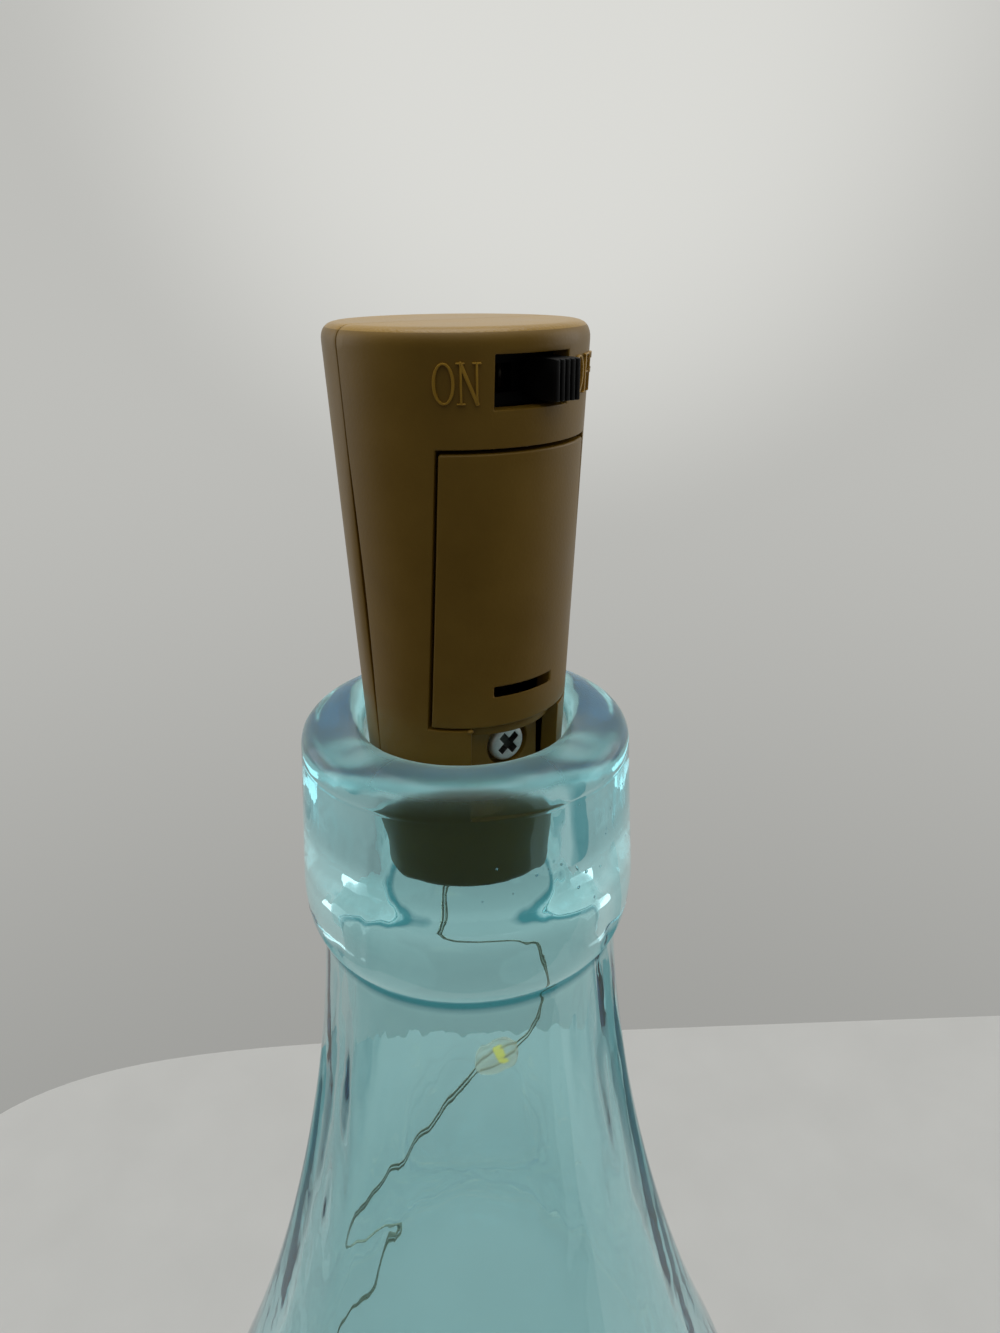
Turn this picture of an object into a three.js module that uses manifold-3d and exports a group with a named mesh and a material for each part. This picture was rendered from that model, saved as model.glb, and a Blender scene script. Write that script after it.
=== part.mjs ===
// Bottle light: a glass bottle, a cork-shaped battery stopper in its mouth and a string of LED beads.
// Millimetres, +Z up. The origin is the centre of the bottle's base, and the stopper's front faces -Y.

import * as THREE from 'three';
import { mergeVertices } from 'three/addons/utils/BufferGeometryUtils.js';
import Module from 'manifold-3d';

const wasm = await Module();
wasm.setup();

// Fits
const GAP = 0.3; // clearance between neighbouring pieces
const SEAT_GAP = 0.35; // clearance of the stopper in the mouth of the bottle
const OVERLAP = 0.2; // how far joined shapes of one piece run into each other
const PAST = 1; // how far a cutting shape runs past the faces that it cuts

// Stopper case
const STOPPER_LENGTH = 48.3;
const STOPPER_TOP_RADIUS = 11.05;
const STOPPER_SEAT_RADIUS = 9.3; // where the steeper taper of the lower end starts
const STOPPER_TIP_RADIUS = 8.5;
const SEAT_SHARE = 0.777; // share of the stopper's length above that place
const STOPPER_STAND = 35.2; // how far the stopper stands out of the bottle
const TOP_ROUND = 1.5;
const TIP_ROUND = 0.8;
const CASE_WALL = 1.5;
const CAP_THICK = 1.2;
const END_THICK = 1.5;
const LAP_THICK = 0.9; // lip of the front half that laps behind the seam
const LAP_REACH = 1.2;
const CASE_SIDES = 60;
const ROD_SIDES = 24;
const SMALL_ROD_SIDES = 16;
const ROUND_STEPS = 3; // straight steps in each small rounded edge

// Battery opening and its door
const DOOR_WIDTH = 14.5;
const DOOR_TOP = 9.0; // depths are measured down from the stopper's top
const DOOR_HEIGHT = 23.6;
const DOOR_TOP_GAP = 0.45;
const DOOR_BEVEL = 0.35; // rise of the lower edge for each millimetre inwards
const PRY_WIDTH = 6.0;
const PRY_HEIGHT = 0.85;
const PRY_DEPTH = 28.9;
const HOOK_OFFSET = 5.4;
const HOOK_WIDTH = 1.6;
const HOOK_THICK = 0.7;
const HOOK_RISE = 1.3;
const HOOK_FOOT = 2.0; // how far the hooks run down the door's inner face
const HOOK_DROP = 0.4; // from the door's top edge to where the hooks join it

// Screw recess under the door
const RECESS_WIDTH = 9.52;
const RECESS_SHARE = 0.4935; // share of the length under the opening that the recess takes
const RECESS_FLOOR = 6.9; // distance of the recess floor from the stopper's axis
const POST_WIDTH = 7.2;
const POST_BACK = 0.5;
const POST_LEDGE = 1.5;
const SCREW_SHARE = 0.401; // share of the recess that lies above the screw's middle
const SCREW_HEAD_RADIUS = 1.9;
const SCREW_HEAD_HEIGHT = 1.2;
const SCREW_HEAD_PROUD = 0.2;
const SCREW_SHANK_RADIUS = 0.85;
const SCREW_LENGTH = 9.0;
const CROSS_LENGTH = 2.4;
const CROSS_WIDTH = 0.5;
const CROSS_DEPTH = 0.7;
const BOSS_RADIUS = 1.8;

// Switch
const WINDOW_WIDTH = 6.9;
const WINDOW_HEIGHT = 4.0;
const SWITCH_DEPTH = 3.9; // depth of the switch's middle
const KNOB_WIDTH = 2.4;
const KNOB_HEIGHT = 3.1;
const KNOB_PROUD = 1.35;
const KNOB_GROOVES = 4;
const KNOB_GROOVE_WIDTH = 0.26;
const KNOB_GROOVE_DEPTH = 0.25;
const CAN_WIDTH = 8.6;
const CAN_HEIGHT = 4.2;
const CAN_LENGTH = 3.5;
const CAN_FRONT = 7.9; // distance of the can's face from the stopper's axis
const CAN_WALL = 0.4;
const STEM_WIDTH = 1.6;
const STEM_HEIGHT = 1.6;
const FOOT_WIDTH = 3.2;
const FOOT_HEIGHT = 2.6;
const FOOT_THICK = 1.4;
const WIPER_WIDTH = 2.8;
const WIPER_THICK = 0.4;
const BASE_PLATE_THICK = 0.8;
const PIN_PITCH = 2.5;
const PIN_WIDTH = 0.5;
const PIN_PROUD = 0.3;
const BOARD_THICK = 1.0;
const BOARD_WIDTH = 10;
const RESISTOR = { x: 1.4, depth: 2.5, width: 1.6, height: 0.8, thick: 0.5 };

// Cells, tray and contacts
const CELL_RADIUS = 5.8;
const CELL_HEIGHT = 5.4;
const CELL_CAP_RADIUS = 4.6;
const CELL_CAP_HEIGHT = 0.4;
const CELL_EDGE = 0.3;
const CELL_COUNT = 3;
const CELL_SIDES = 30;
const CELL_FORWARD = 1.7; // how far the cells' axis lies in front of the stopper's axis
const TRAY_WALL = 1.0;
const TRAY_SIDES = 32;
const SHELF_THICK = 0.8;
const TOP_SHELF_DEPTH = 6.6;
const PLATE_THICK = 0.3;
const PLATE_WIDTH = 5.6;
const PLATE_LENGTH = 8.4;
const PLATE_BACK = 3.2; // how far the plates reach behind the stopper's axis
const NUB_RADIUS = 2.0;
const NUB_HEIGHT = 0.9;
const TAIL_WIDTH = 1.2;
const TAIL_RISE = 1.1;
const NEGATIVE_TAIL_X = 5.05;
const SPRING_WIRE = 0.5;
const SPRING_TURNS = 4;
const SPRING_SIDES = 5;
const SPRING_TURN_STEPS = 8;
const SPRING_LOW_RADIUS = 3.4;
const SPRING_HIGH_RADIUS = 1.9;

// Wires and string
const LEAD_RADIUS = 0.45;
const STRING_RADIUS = 0.3;
const WIRE_SIDES = 8;
const COIL_SIDES = 6;
const POSITIVE_STEPS = 10; // straight steps along each wire
const NEGATIVE_STEPS = 26;
const FEED_STEPS = 28;
const HOLE_RADIUS = 1.6;
const SEAL_FLANGE_RADIUS = 2.6;
const SEAL_FLANGE_THICK = 1.0;
const SEAL_BLOB_RADIUS = 2.0;
const SEAL_BLOB_HEIGHT = 0.8;
const FIRST_BEAD = 42.8; // along the string from the start of its lead
const BEAD_PITCH = 100;
const BEAD_COUNT = 10;
const BEAD_LENGTH = 5.2;
const BEAD_RADIUS = 1.7;
const BEAD_BORE = 0.65;
const BEAD_SIDES = 9;
const BEAD_STEPS = 6;
const LEAD_END = 63.6; // length of the string that lifts out with the stopper
const COIL_RADIUS = 32;
const COIL_WAVE = 2.0;
const COIL_WAVES = 1.7; // in and out swings of the coil in each turn
const COIL_PITCH = 19;
const COIL_SINK = 20; // drop of the coil's opening, besides its pitch
const COIL_TILT = 3;
const COIL_LOOP_STEPS = 24;
const COIL_OPENING_TURNS = 0.7;
const LEAD_STEPS = 44;
const HOOK_STEPS = 72;

// Bottle
const BOTTLE_HEIGHT = 240;
const BODY_RADIUS = 41;
const BODY_TOP = 94; // height of the straight side
const GLASS_WALL = 3.0;
const NECK_WALL = 2.6;
const BASE_THICK = 7;
const HEEL_ROUND = 9;
const PUNT_RADIUS = 26;
const PUNT_RISE = 5;
const PUNT_EASE = 0.8; // share of the hollow's radius where its curve starts to flatten
const COLLAR_THICK = 6.1; // glass between the bore and the collar's outside
const COLLAR_FLARE = 0.85; // how much wider the collar is at its foot
const COLLAR_HEIGHT = 16.5;
const NECK_THICK = 5.45; // glass between the bore's line and the neck's outside
const NECK_DROP = 22.4; // from the lip to the crease under the collar
const FLARE_RADIUS = 33;
const FLARE_DROP = 99;
const FLARE_SLOPE = 0.4;
const NECK_SWELL = 1.4; // bends of the neck's curve, as distances to its control points
const NECK_PULL = 25;
const FLARE_PULL = 24;
const SHOULDER_PULL = 18;
const COLLAR_PULL = 3.3;
const BORE_PULL = 4;
const LIP_ROUND = 3.2;
const MOUTH_ROUND = 2.0;
const BORE_LENGTH = 12;
const BORE_DROP = 19.5; // from the lip to where the bore has opened to the neck's width
const GLASS_SIDES = 40;
const GLASS_CURVE_STEPS = 5;

// Sizes that follow from the ones above
const stopperTop = BOTTLE_HEIGHT + STOPPER_STAND;
const seatDepth = SEAT_SHARE * STOPPER_LENGTH;
const taper = (STOPPER_TOP_RADIUS - STOPPER_SEAT_RADIUS) / seatDepth;
const tipTaper = (STOPPER_SEAT_RADIUS - STOPPER_TIP_RADIUS) / (STOPPER_LENGTH - seatDepth);
const caseRadius = depth => depth < seatDepth
  ? STOPPER_TOP_RADIUS - taper * depth
  : STOPPER_SEAT_RADIUS - tipTaper * (depth - seatDepth);
const boreRadius = caseRadius(STOPPER_STAND + MOUTH_ROUND) + SEAT_GAP;
const collarRadius = boreRadius + COLLAR_THICK;
const collarFoot = collarRadius + COLLAR_FLARE;
const neckRadius = boreRadius + NECK_THICK;
const doorBottom = DOOR_TOP + DOOR_HEIGHT;
const openingTop = DOOR_TOP - DOOR_TOP_GAP;
const openingBottom = doorBottom + GAP;
const recessBottom = openingBottom + RECESS_SHARE * (STOPPER_LENGTH - openingBottom);
const screwDepth = openingBottom + SCREW_SHARE * (recessBottom - openingBottom);
const trayTop = TOP_SHELF_DEPTH + SHELF_THICK;
const trayBottom = openingBottom + OVERLAP / 2;
const shelfBottom = trayBottom + SHELF_THICK;
const trayInner = CELL_RADIUS + GAP;
const trayOuter = trayInner + TRAY_WALL;
const switchTravel = WINDOW_WIDTH - KNOB_WIDTH - 2 * GAP;
const knobFront = caseRadius(SWITCH_DEPTH) + KNOB_PROUD;
const footFront = CAN_FRONT - CAN_WALL - GAP;
const footBack = footFront - FOOT_THICK;
const wiperBack = footBack - GAP - WIPER_THICK;
const canBack = CAN_FRONT - CAN_LENGTH;
const baseFront = canBack - GAP;
const baseBack = baseFront - BASE_PLATE_THICK;
const boardFront = baseBack - GAP;
const boardBack = boardFront - BOARD_THICK;
const plateTop = trayTop + GAP;
const firstCellTop = plateTop + PLATE_THICK + NUB_HEIGHT + GAP;
const cellStep = CELL_HEIGHT + GAP;
const lastCellBottom = firstCellTop + CELL_COUNT * cellStep - GAP;
const lowPlateBottom = trayBottom - GAP;
const far = 4 * STOPPER_TOP_RADIUS; // reach of a cutting block past the case

// Solids and meshes

// Merges shared corners, drops empty triangles and turns the faces outwards.
function closed(geometry) {
  for (const name of ['normal', 'uv']) geometry.deleteAttribute(name);
  const merged = mergeVertices(geometry, 1e-4);
  const index = [];
  const source = merged.index.array;
  for (let i = 0; i < source.length; i += 3) {
    const [a, b, c] = source.slice(i, i + 3);
    if (a !== b && b !== c && c !== a) index.push(a, b, c);
  }
  const corner = i => new THREE.Vector3().fromBufferAttribute(merged.attributes.position, i);
  let volume = 0;
  for (let i = 0; i < index.length; i += 3) {
    volume += corner(index[i]).dot(corner(index[i + 1]).cross(corner(index[i + 2])));
  }
  merged.setIndex(volume < 0 ? index.reverse() : index);
  return merged;
}

function solid(geometry) {
  const mesh = closed(geometry);
  const vertProperties = new Float32Array(mesh.attributes.position.array);
  const triVerts = new Uint32Array(mesh.index.array);
  return new wasm.Manifold(new wasm.Mesh({ numProp: 3, vertProperties, triVerts }));
}

function surface(body) {
  const mesh = body.getMesh();
  const geometry = new THREE.BufferGeometry();
  geometry.setAttribute('position', new THREE.BufferAttribute(new Float32Array(mesh.vertProperties), 3));
  geometry.setIndex(new THREE.BufferAttribute(new Uint32Array(mesh.triVerts), 1));
  return geometry;
}

const join = bodies => bodies.reduce((all, body) => all.add(body));
const cut = (body, tools) => tools.reduce((rest, tool) => rest.subtract(tool), body);

// A box between pairs of limits. In the stopper the third pair is given as depths under its top.
function block([x0, x1], [y0, y1], [z0, z1]) {
  const geometry = new THREE.BoxGeometry(x1 - x0, y1 - y0, Math.abs(z1 - z0));
  return solid(geometry.translate((x0 + x1) / 2, (y0 + y1) / 2, (z0 + z1) / 2));
}
const depths = (high, low) => [-high, -low];
const across = (width, middle = 0) => [middle - width / 2, middle + width / 2];

// An outline of radius and height turned about the Z axis.
function turned(points, sides) {
  return new THREE.LatheGeometry(points, sides).rotateX(Math.PI / 2);
}

function upright(radius, [z0, z1], y, sides) {
  const geometry = new THREE.CylinderGeometry(radius, radius, Math.abs(z1 - z0), sides);
  return solid(geometry.rotateX(Math.PI / 2).translate(0, y, (z0 + z1) / 2));
}

// A rod that runs front to back at a depth under the stopper's top.
function crossRod(radius, [y0, y1], depth, sides) {
  const geometry = new THREE.CylinderGeometry(radius, radius, y1 - y0, sides);
  return solid(geometry.translate(0, (y0 + y1) / 2, -depth));
}

// A round tube along a curve.
function tube(curve, radius, sides, steps) {
  const section = new THREE.Shape();
  for (let i = 0; i < sides; i++) {
    const angle = (2 * Math.PI * i) / sides;
    const point = [radius * Math.cos(angle), radius * Math.sin(angle)];
    if (i === 0) section.moveTo(...point);
    else section.lineTo(...point);
  }
  section.closePath();
  return new THREE.ExtrudeGeometry(section, { steps, extrudePath: curve, bevelEnabled: false });
}

// Part of a longer curve, between two lengths along it.
class Stretch extends THREE.Curve {
  constructor(whole, from, to) {
    super();
    Object.assign(this, { whole, from, to, total: whole.getLength() });
  }

  getPoint(t) {
    return this.whole.getPointAt((this.from + t * (this.to - this.from)) / this.total);
  }
}

const smooth = points => new THREE.CatmullRomCurve3(points.map(p => new THREE.Vector3(...p)));

// Bottle

// Neck and shoulder on the glass's outside, moved inwards by the wall at the neck and at the shoulder.
function shoulderLine(path, down, neckWall, bodyWall) {
  const lip = BOTTLE_HEIGHT;
  const shoulder = lip - FLARE_DROP;
  const neck = [neckRadius - neckWall, lip - NECK_DROP];
  const flare = [FLARE_RADIUS - bodyWall, shoulder];
  const fromNeck = [neckRadius + NECK_SWELL - neckWall, lip - NECK_DROP - NECK_PULL];
  const toFlare = [FLARE_RADIUS - FLARE_SLOPE * FLARE_PULL - bodyWall, shoulder + FLARE_PULL];
  const fromFlare = [FLARE_RADIUS + FLARE_SLOPE * SHOULDER_PULL - bodyWall, shoulder - SHOULDER_PULL];
  const body = [BODY_RADIUS - bodyWall, BODY_TOP];
  const toBody = [BODY_RADIUS - bodyWall, BODY_TOP + SHOULDER_PULL];
  if (down) {
    path.bezierCurveTo(...fromNeck, ...toFlare, ...flare);
    path.bezierCurveTo(...fromFlare, ...toBody, ...body);
  } else {
    path.bezierCurveTo(...toBody, ...fromFlare, ...flare);
    path.bezierCurveTo(...toFlare, ...fromNeck, ...neck);
  }
}

function glassBottle() {
  const lip = BOTTLE_HEIGHT;
  const inside = BODY_RADIUS - GLASS_WALL;
  const heelInside = HEEL_ROUND - GLASS_WALL;
  const floor = BASE_THICK + GLASS_WALL / 2;
  const crown = (boreRadius + collarRadius) / 2;
  const path = new THREE.Path();
  path.moveTo(0, PUNT_RISE);
  path.bezierCurveTo(PUNT_RADIUS / 2, PUNT_RISE, PUNT_RADIUS * PUNT_EASE, 0, PUNT_RADIUS, 0);
  path.lineTo(BODY_RADIUS - HEEL_ROUND, 0);
  path.quadraticCurveTo(BODY_RADIUS, 0, BODY_RADIUS, HEEL_ROUND);
  path.lineTo(BODY_RADIUS, BODY_TOP);
  shoulderLine(path, false, 0, 0);
  path.quadraticCurveTo(collarFoot, lip - COLLAR_HEIGHT - COLLAR_PULL, collarFoot, lip - COLLAR_HEIGHT);
  path.lineTo(collarRadius, lip - LIP_ROUND);
  path.quadraticCurveTo(collarRadius, lip, crown, lip);
  path.quadraticCurveTo(boreRadius, lip, boreRadius, lip - MOUTH_ROUND);
  path.lineTo(boreRadius, lip - BORE_LENGTH);
  path.bezierCurveTo(boreRadius, lip - BORE_LENGTH - BORE_PULL,
    neckRadius - NECK_WALL, lip - BORE_DROP + BORE_PULL, neckRadius - NECK_WALL, lip - BORE_DROP);
  path.lineTo(neckRadius - NECK_WALL, lip - NECK_DROP);
  shoulderLine(path, true, NECK_WALL, GLASS_WALL);
  path.lineTo(inside, floor + heelInside);
  path.quadraticCurveTo(inside, floor, inside - heelInside, floor);
  path.lineTo(PUNT_RADIUS, floor);
  path.bezierCurveTo(PUNT_RADIUS * PUNT_EASE, floor, PUNT_RADIUS / 2, PUNT_RISE + BASE_THICK,
    0, PUNT_RISE + BASE_THICK);
  return closed(turned(path.getPoints(GLASS_CURVE_STEPS), GLASS_SIDES));
}

// Stopper case

// The solid inside the case's outer face moved inwards, between two depths.
function cone(inset, from, to) {
  const levels = from < seatDepth && seatDepth < to ? [to, seatDepth, from] : [to, from];
  const points = [[0, -to], ...levels.map(depth => [caseRadius(depth) - inset, -depth]), [0, -from]];
  return solid(turned(points.map(p => new THREE.Vector2(...p)), CASE_SIDES));
}

function caseOutside() {
  const path = new THREE.Path();
  const end = STOPPER_LENGTH;
  path.moveTo(0, -end);
  path.lineTo(STOPPER_TIP_RADIUS - TIP_ROUND, -end);
  path.quadraticCurveTo(STOPPER_TIP_RADIUS, -end, caseRadius(end - TIP_ROUND), TIP_ROUND - end);
  path.lineTo(STOPPER_SEAT_RADIUS, -seatDepth);
  path.lineTo(caseRadius(TOP_ROUND), -TOP_ROUND);
  path.quadraticCurveTo(STOPPER_TOP_RADIUS, 0, STOPPER_TOP_RADIUS - TOP_ROUND, 0);
  path.lineTo(0, 0);
  return solid(turned(path.getPoints(ROUND_STEPS), CASE_SIDES));
}

const caseShell = caseOutside().subtract(cone(CASE_WALL, CAP_THICK, STOPPER_LENGTH - END_THICK));
const frontHalf = [-far, -GAP / 2];
const rearHalf = [GAP / 2, far];
const fullDepth = depths(STOPPER_LENGTH + far, -far);
const holeDepths = depths(STOPPER_LENGTH + PAST, STOPPER_LENGTH - END_THICK - PAST);
const stringHole = upright(HOLE_RADIUS, holeDepths, 0, SMALL_ROD_SIDES);

// Lip inside the seam, fixed to the front half and lapping behind the rear half.
function lap() {
  const from = CAP_THICK + GAP;
  const to = STOPPER_LENGTH - END_THICK - GAP;
  const inner = cone(CASE_WALL + GAP + LAP_THICK, from - PAST, to + PAST);
  const free = cone(CASE_WALL + GAP, from, to)
    .intersect(block([-far, far], [-LAP_REACH, LAP_REACH], fullDepth));
  const root = cone(CASE_WALL - OVERLAP, from, to)
    .intersect(block([-far, far], [-LAP_REACH, -GAP / 2], fullDepth));
  return free.add(root).subtract(inner);
}

// Tray round the cells, with a shelf above and below that reaches the front wall.
function tray() {
  const y = -CELL_FORWARD;
  const round = cut(upright(trayOuter, depths(shelfBottom, TOP_SHELF_DEPTH), y, TRAY_SIDES), [
    upright(trayInner, depths(trayBottom, trayTop), y, TRAY_SIDES),
    block([-far, far], [-far, y - OVERLAP], depths(trayBottom, trayTop)),
  ]);
  const shelves = [[TOP_SHELF_DEPTH, trayTop], [trayBottom, shelfBottom]].map(([high, low]) =>
    cone(CASE_WALL - OVERLAP, high, low).intersect(block([-far, far], frontHalf, fullDepth)));
  return join([round, ...shelves]);
}

function screwPost() {
  const body = block(across(POST_WIDTH), [-RECESS_FLOOR, -POST_BACK],
    depths(recessBottom + POST_LEDGE, trayBottom));
  const wall = caseRadius(recessBottom) - CASE_WALL;
  const ledge = block(across(POST_WIDTH), [-wall - OVERLAP, -POST_BACK],
    depths(recessBottom + POST_LEDGE, recessBottom));
  return body.add(ledge);
}

function frontShell() {
  const wall = cut(caseShell.intersect(block([-far, far], frontHalf, fullDepth)), [
    block(across(DOOR_WIDTH + 2 * GAP), frontHalf, depths(openingBottom, openingTop)),
    block(across(WINDOW_WIDTH), frontHalf,
      depths(SWITCH_DEPTH + WINDOW_HEIGHT / 2, SWITCH_DEPTH - WINDOW_HEIGHT / 2)),
  ]);
  const recess = block(across(RECESS_WIDTH), [-far, -RECESS_FLOOR],
    depths(recessBottom, openingBottom - OVERLAP));
  const headRoom = SCREW_HEAD_HEIGHT - SCREW_HEAD_PROUD + GAP;
  return surface(cut(join([wall, lap(), tray(), screwPost()]), [
    recess,
    crossRod(SCREW_HEAD_RADIUS + GAP, [-RECESS_FLOOR - PAST, headRoom - RECESS_FLOOR], screwDepth,
      ROD_SIDES),
    crossRod(SCREW_SHANK_RADIUS + GAP, [-RECESS_FLOOR, 0], screwDepth, SMALL_ROD_SIDES),
    block(across(TAIL_WIDTH + 2 * GAP, -TAIL_WIDTH), [PLATE_BACK - PLATE_THICK - GAP, PLATE_BACK + GAP],
      depths(trayTop + PAST, TOP_SHELF_DEPTH - PAST)),
    block(across(PLATE_THICK + 2 * GAP, NEGATIVE_TAIL_X), across(TAIL_WIDTH + 2 * GAP, -CELL_FORWARD),
      depths(shelfBottom + PAST, trayBottom - PAST)),
    stringHole,
  ]));
}

function rearShell() {
  const half = caseShell.intersect(block([-far, far], rearHalf, fullDepth));
  const bossReach = [GAP - POST_BACK, caseRadius(screwDepth) - CASE_WALL + OVERLAP];
  const boss = crossRod(BOSS_RADIUS, bossReach, screwDepth, ROD_SIDES);
  const bossEnd = SCREW_LENGTH - RECESS_FLOOR + 2 * GAP;
  return surface(cut(half.add(boss), [
    crossRod(SCREW_SHANK_RADIUS + GAP, [-POST_BACK - PAST, bossEnd], screwDepth, SMALL_ROD_SIDES),
    stringHole,
  ]));
}

function batteryDoor() {
  const inside = caseRadius(doorBottom) - CASE_WALL - PAST;
  const outside = caseRadius(doorBottom);
  const bevel = [
    [inside, -doorBottom - PAST],
    [outside, -doorBottom - PAST],
    [outside, -doorBottom],
    [inside, DOOR_BEVEL * (outside - inside) - doorBottom],
    [inside, -doorBottom - PAST],
  ];
  const panel = block(across(DOOR_WIDTH), frontHalf, depths(doorBottom, DOOR_TOP));
  const plate = cut(caseShell.intersect(panel), [
    solid(turned(bevel.map(p => new THREE.Vector2(...p)), CASE_SIDES)),
    block(across(PRY_WIDTH), frontHalf, depths(PRY_DEPTH + PRY_HEIGHT, PRY_DEPTH)),
  ]);
  // The hooks stand behind the wall above the opening, clear of its inner face at their outer corners.
  const corner = HOOK_OFFSET + HOOK_WIDTH / 2;
  const front = Math.sqrt((caseRadius(openingTop) - CASE_WALL - GAP) ** 2 - corner ** 2);
  const foot = DOOR_TOP + HOOK_FOOT;
  const hooks = [-HOOK_OFFSET, HOOK_OFFSET].flatMap(x => [
    block(across(HOOK_WIDTH, x), [-front, HOOK_THICK - front], depths(foot, DOOR_TOP - HOOK_RISE)),
    block(across(HOOK_WIDTH, x), [-front - PAST, HOOK_THICK - front], depths(foot, DOOR_TOP + HOOK_DROP)),
  ]);
  return surface(join([plate, ...hooks]));
}

function caseScrew() {
  const face = -RECESS_FLOOR - SCREW_HEAD_PROUD;
  const head = crossRod(SCREW_HEAD_RADIUS, [face, face + SCREW_HEAD_HEIGHT], screwDepth, ROD_SIDES);
  const shank = crossRod(SCREW_SHANK_RADIUS, [face + OVERLAP, SCREW_LENGTH - RECESS_FLOOR], screwDepth,
    SMALL_ROD_SIDES);
  const recess = [face - PAST, face + CROSS_DEPTH];
  const bar = (width, height) => block(across(width), recess, across(height, -screwDepth));
  return surface(cut(head.add(shank), [bar(CROSS_LENGTH, CROSS_WIDTH), bar(CROSS_WIDTH, CROSS_LENGTH)]));
}

// Switch, drawn with its slider in the middle; the slider's group moves it to OFF.

const switchRise = height => across(height, -SWITCH_DEPTH);

function switchSlider() {
  const half = KNOB_WIDTH / 2;
  const pitch = KNOB_WIDTH / (KNOB_GROOVES + 1);
  const outline = new THREE.Shape();
  outline.moveTo(-half, -CAN_FRONT - GAP);
  outline.lineTo(-half, -knobFront);
  for (let i = 1; i <= KNOB_GROOVES; i++) {
    const middle = i * pitch - half;
    outline.lineTo(middle - KNOB_GROOVE_WIDTH / 2, -knobFront);
    outline.lineTo(middle, KNOB_GROOVE_DEPTH - knobFront);
    outline.lineTo(middle + KNOB_GROOVE_WIDTH / 2, -knobFront);
  }
  outline.lineTo(half, -knobFront);
  outline.lineTo(half, -CAN_FRONT - GAP);
  outline.closePath();
  const knob = new THREE.ExtrudeGeometry(outline, { depth: KNOB_HEIGHT, bevelEnabled: false });
  return surface(join([
    solid(knob.translate(0, 0, -SWITCH_DEPTH - KNOB_HEIGHT / 2)),
    block(across(STEM_WIDTH), [-CAN_FRONT - GAP - OVERLAP, -footBack], switchRise(STEM_HEIGHT)),
    block(across(FOOT_WIDTH), [-footFront, -footBack], switchRise(FOOT_HEIGHT)),
  ]));
}

function switchCan() {
  const slot = [STEM_WIDTH + switchTravel + 2 * GAP, STEM_HEIGHT + 2 * GAP];
  return surface(cut(block(across(CAN_WIDTH), [-CAN_FRONT, -canBack], switchRise(CAN_HEIGHT)), [
    block(across(CAN_WIDTH - 2 * CAN_WALL), [CAN_WALL - CAN_FRONT, PAST - canBack],
      switchRise(CAN_HEIGHT - 2 * CAN_WALL)),
    block(across(slot[0]), [-CAN_FRONT - PAST, -footBack], switchRise(slot[1])),
  ]));
}

const pinPlaces = [-PIN_PITCH, 0, PIN_PITCH];
const pinHoles = (front, back) => pinPlaces.map(x =>
  block(across(PIN_WIDTH + 2 * GAP, x), [-front - PAST, PAST - back], switchRise(PIN_WIDTH + 2 * GAP)));

function switchBase() {
  const plate = block(across(CAN_WIDTH), [-baseFront, -baseBack], switchRise(CAN_HEIGHT));
  return surface(cut(plate, pinHoles(baseFront, baseBack)));
}

function circuitBoard() {
  const plate = block(across(BOARD_WIDTH), [-boardFront, -boardBack],
    depths(TOP_SHELF_DEPTH - GAP, CAP_THICK + GAP));
  return surface(cut(plate, pinHoles(boardFront, boardBack)));
}

const switchWiper = () =>
  surface(block(across(WIPER_WIDTH), [GAP - footBack, -wiperBack], switchRise(FOOT_HEIGHT - 2 * GAP)));

const switchPin = x =>
  surface(block(across(PIN_WIDTH, x), [GAP - wiperBack, PIN_PROUD - boardBack], switchRise(PIN_WIDTH)));

const resistor = () => surface(block(across(RESISTOR.width, RESISTOR.x),
  [GAP - boardBack, GAP - boardBack + RESISTOR.thick], across(RESISTOR.height, -RESISTOR.depth)));

// Cells and contacts

// One cell with its flat positive face up.
function batteryCell(top) {
  const bottom = top + CELL_HEIGHT;
  const rim = bottom - CELL_CAP_HEIGHT;
  const outline = [
    [0, -bottom],
    [CELL_CAP_RADIUS, -bottom],
    [CELL_CAP_RADIUS, -rim],
    [CELL_RADIUS - CELL_EDGE, -rim],
    [CELL_RADIUS, CELL_EDGE - rim],
    [CELL_RADIUS, -top - CELL_EDGE],
    [CELL_RADIUS - CELL_EDGE, -top],
    [0, -top],
  ];
  const cell = turned(outline.map(p => new THREE.Vector2(...p)), CELL_SIDES);
  return closed(cell.translate(0, -CELL_FORWARD, 0));
}

const plateSpan = [PLATE_BACK - PLATE_LENGTH, PLATE_BACK];

function positivePlate() {
  return surface(join([
    block(across(PLATE_WIDTH), plateSpan, depths(plateTop + PLATE_THICK, plateTop)),
    upright(NUB_RADIUS, depths(plateTop + PLATE_THICK + NUB_HEIGHT, plateTop), -CELL_FORWARD, ROD_SIDES),
    block(across(TAIL_WIDTH, -TAIL_WIDTH), [PLATE_BACK - PLATE_THICK, PLATE_BACK],
      depths(plateTop + PLATE_THICK, TOP_SHELF_DEPTH - TAIL_RISE / 2)),
  ]));
}

function negativePlate() {
  const tailEdge = NEGATIVE_TAIL_X + PLATE_THICK / 2;
  const arm = across(TAIL_WIDTH, -CELL_FORWARD);
  const thick = depths(lowPlateBottom, lowPlateBottom - PLATE_THICK);
  return surface(join([
    block(across(PLATE_WIDTH), plateSpan, thick),
    block([0, tailEdge], arm, thick),
    block([tailEdge - PLATE_THICK, tailEdge], arm, depths(shelfBottom + TAIL_RISE, lowPlateBottom)),
  ]));
}

// Conical spring between the lower plate and the last cell, in one unbroken tube.
const springTop = lastCellBottom + GAP + SPRING_WIRE / 2;
const springBottom = lowPlateBottom - PLATE_THICK - GAP - SPRING_WIRE / 2;

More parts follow.
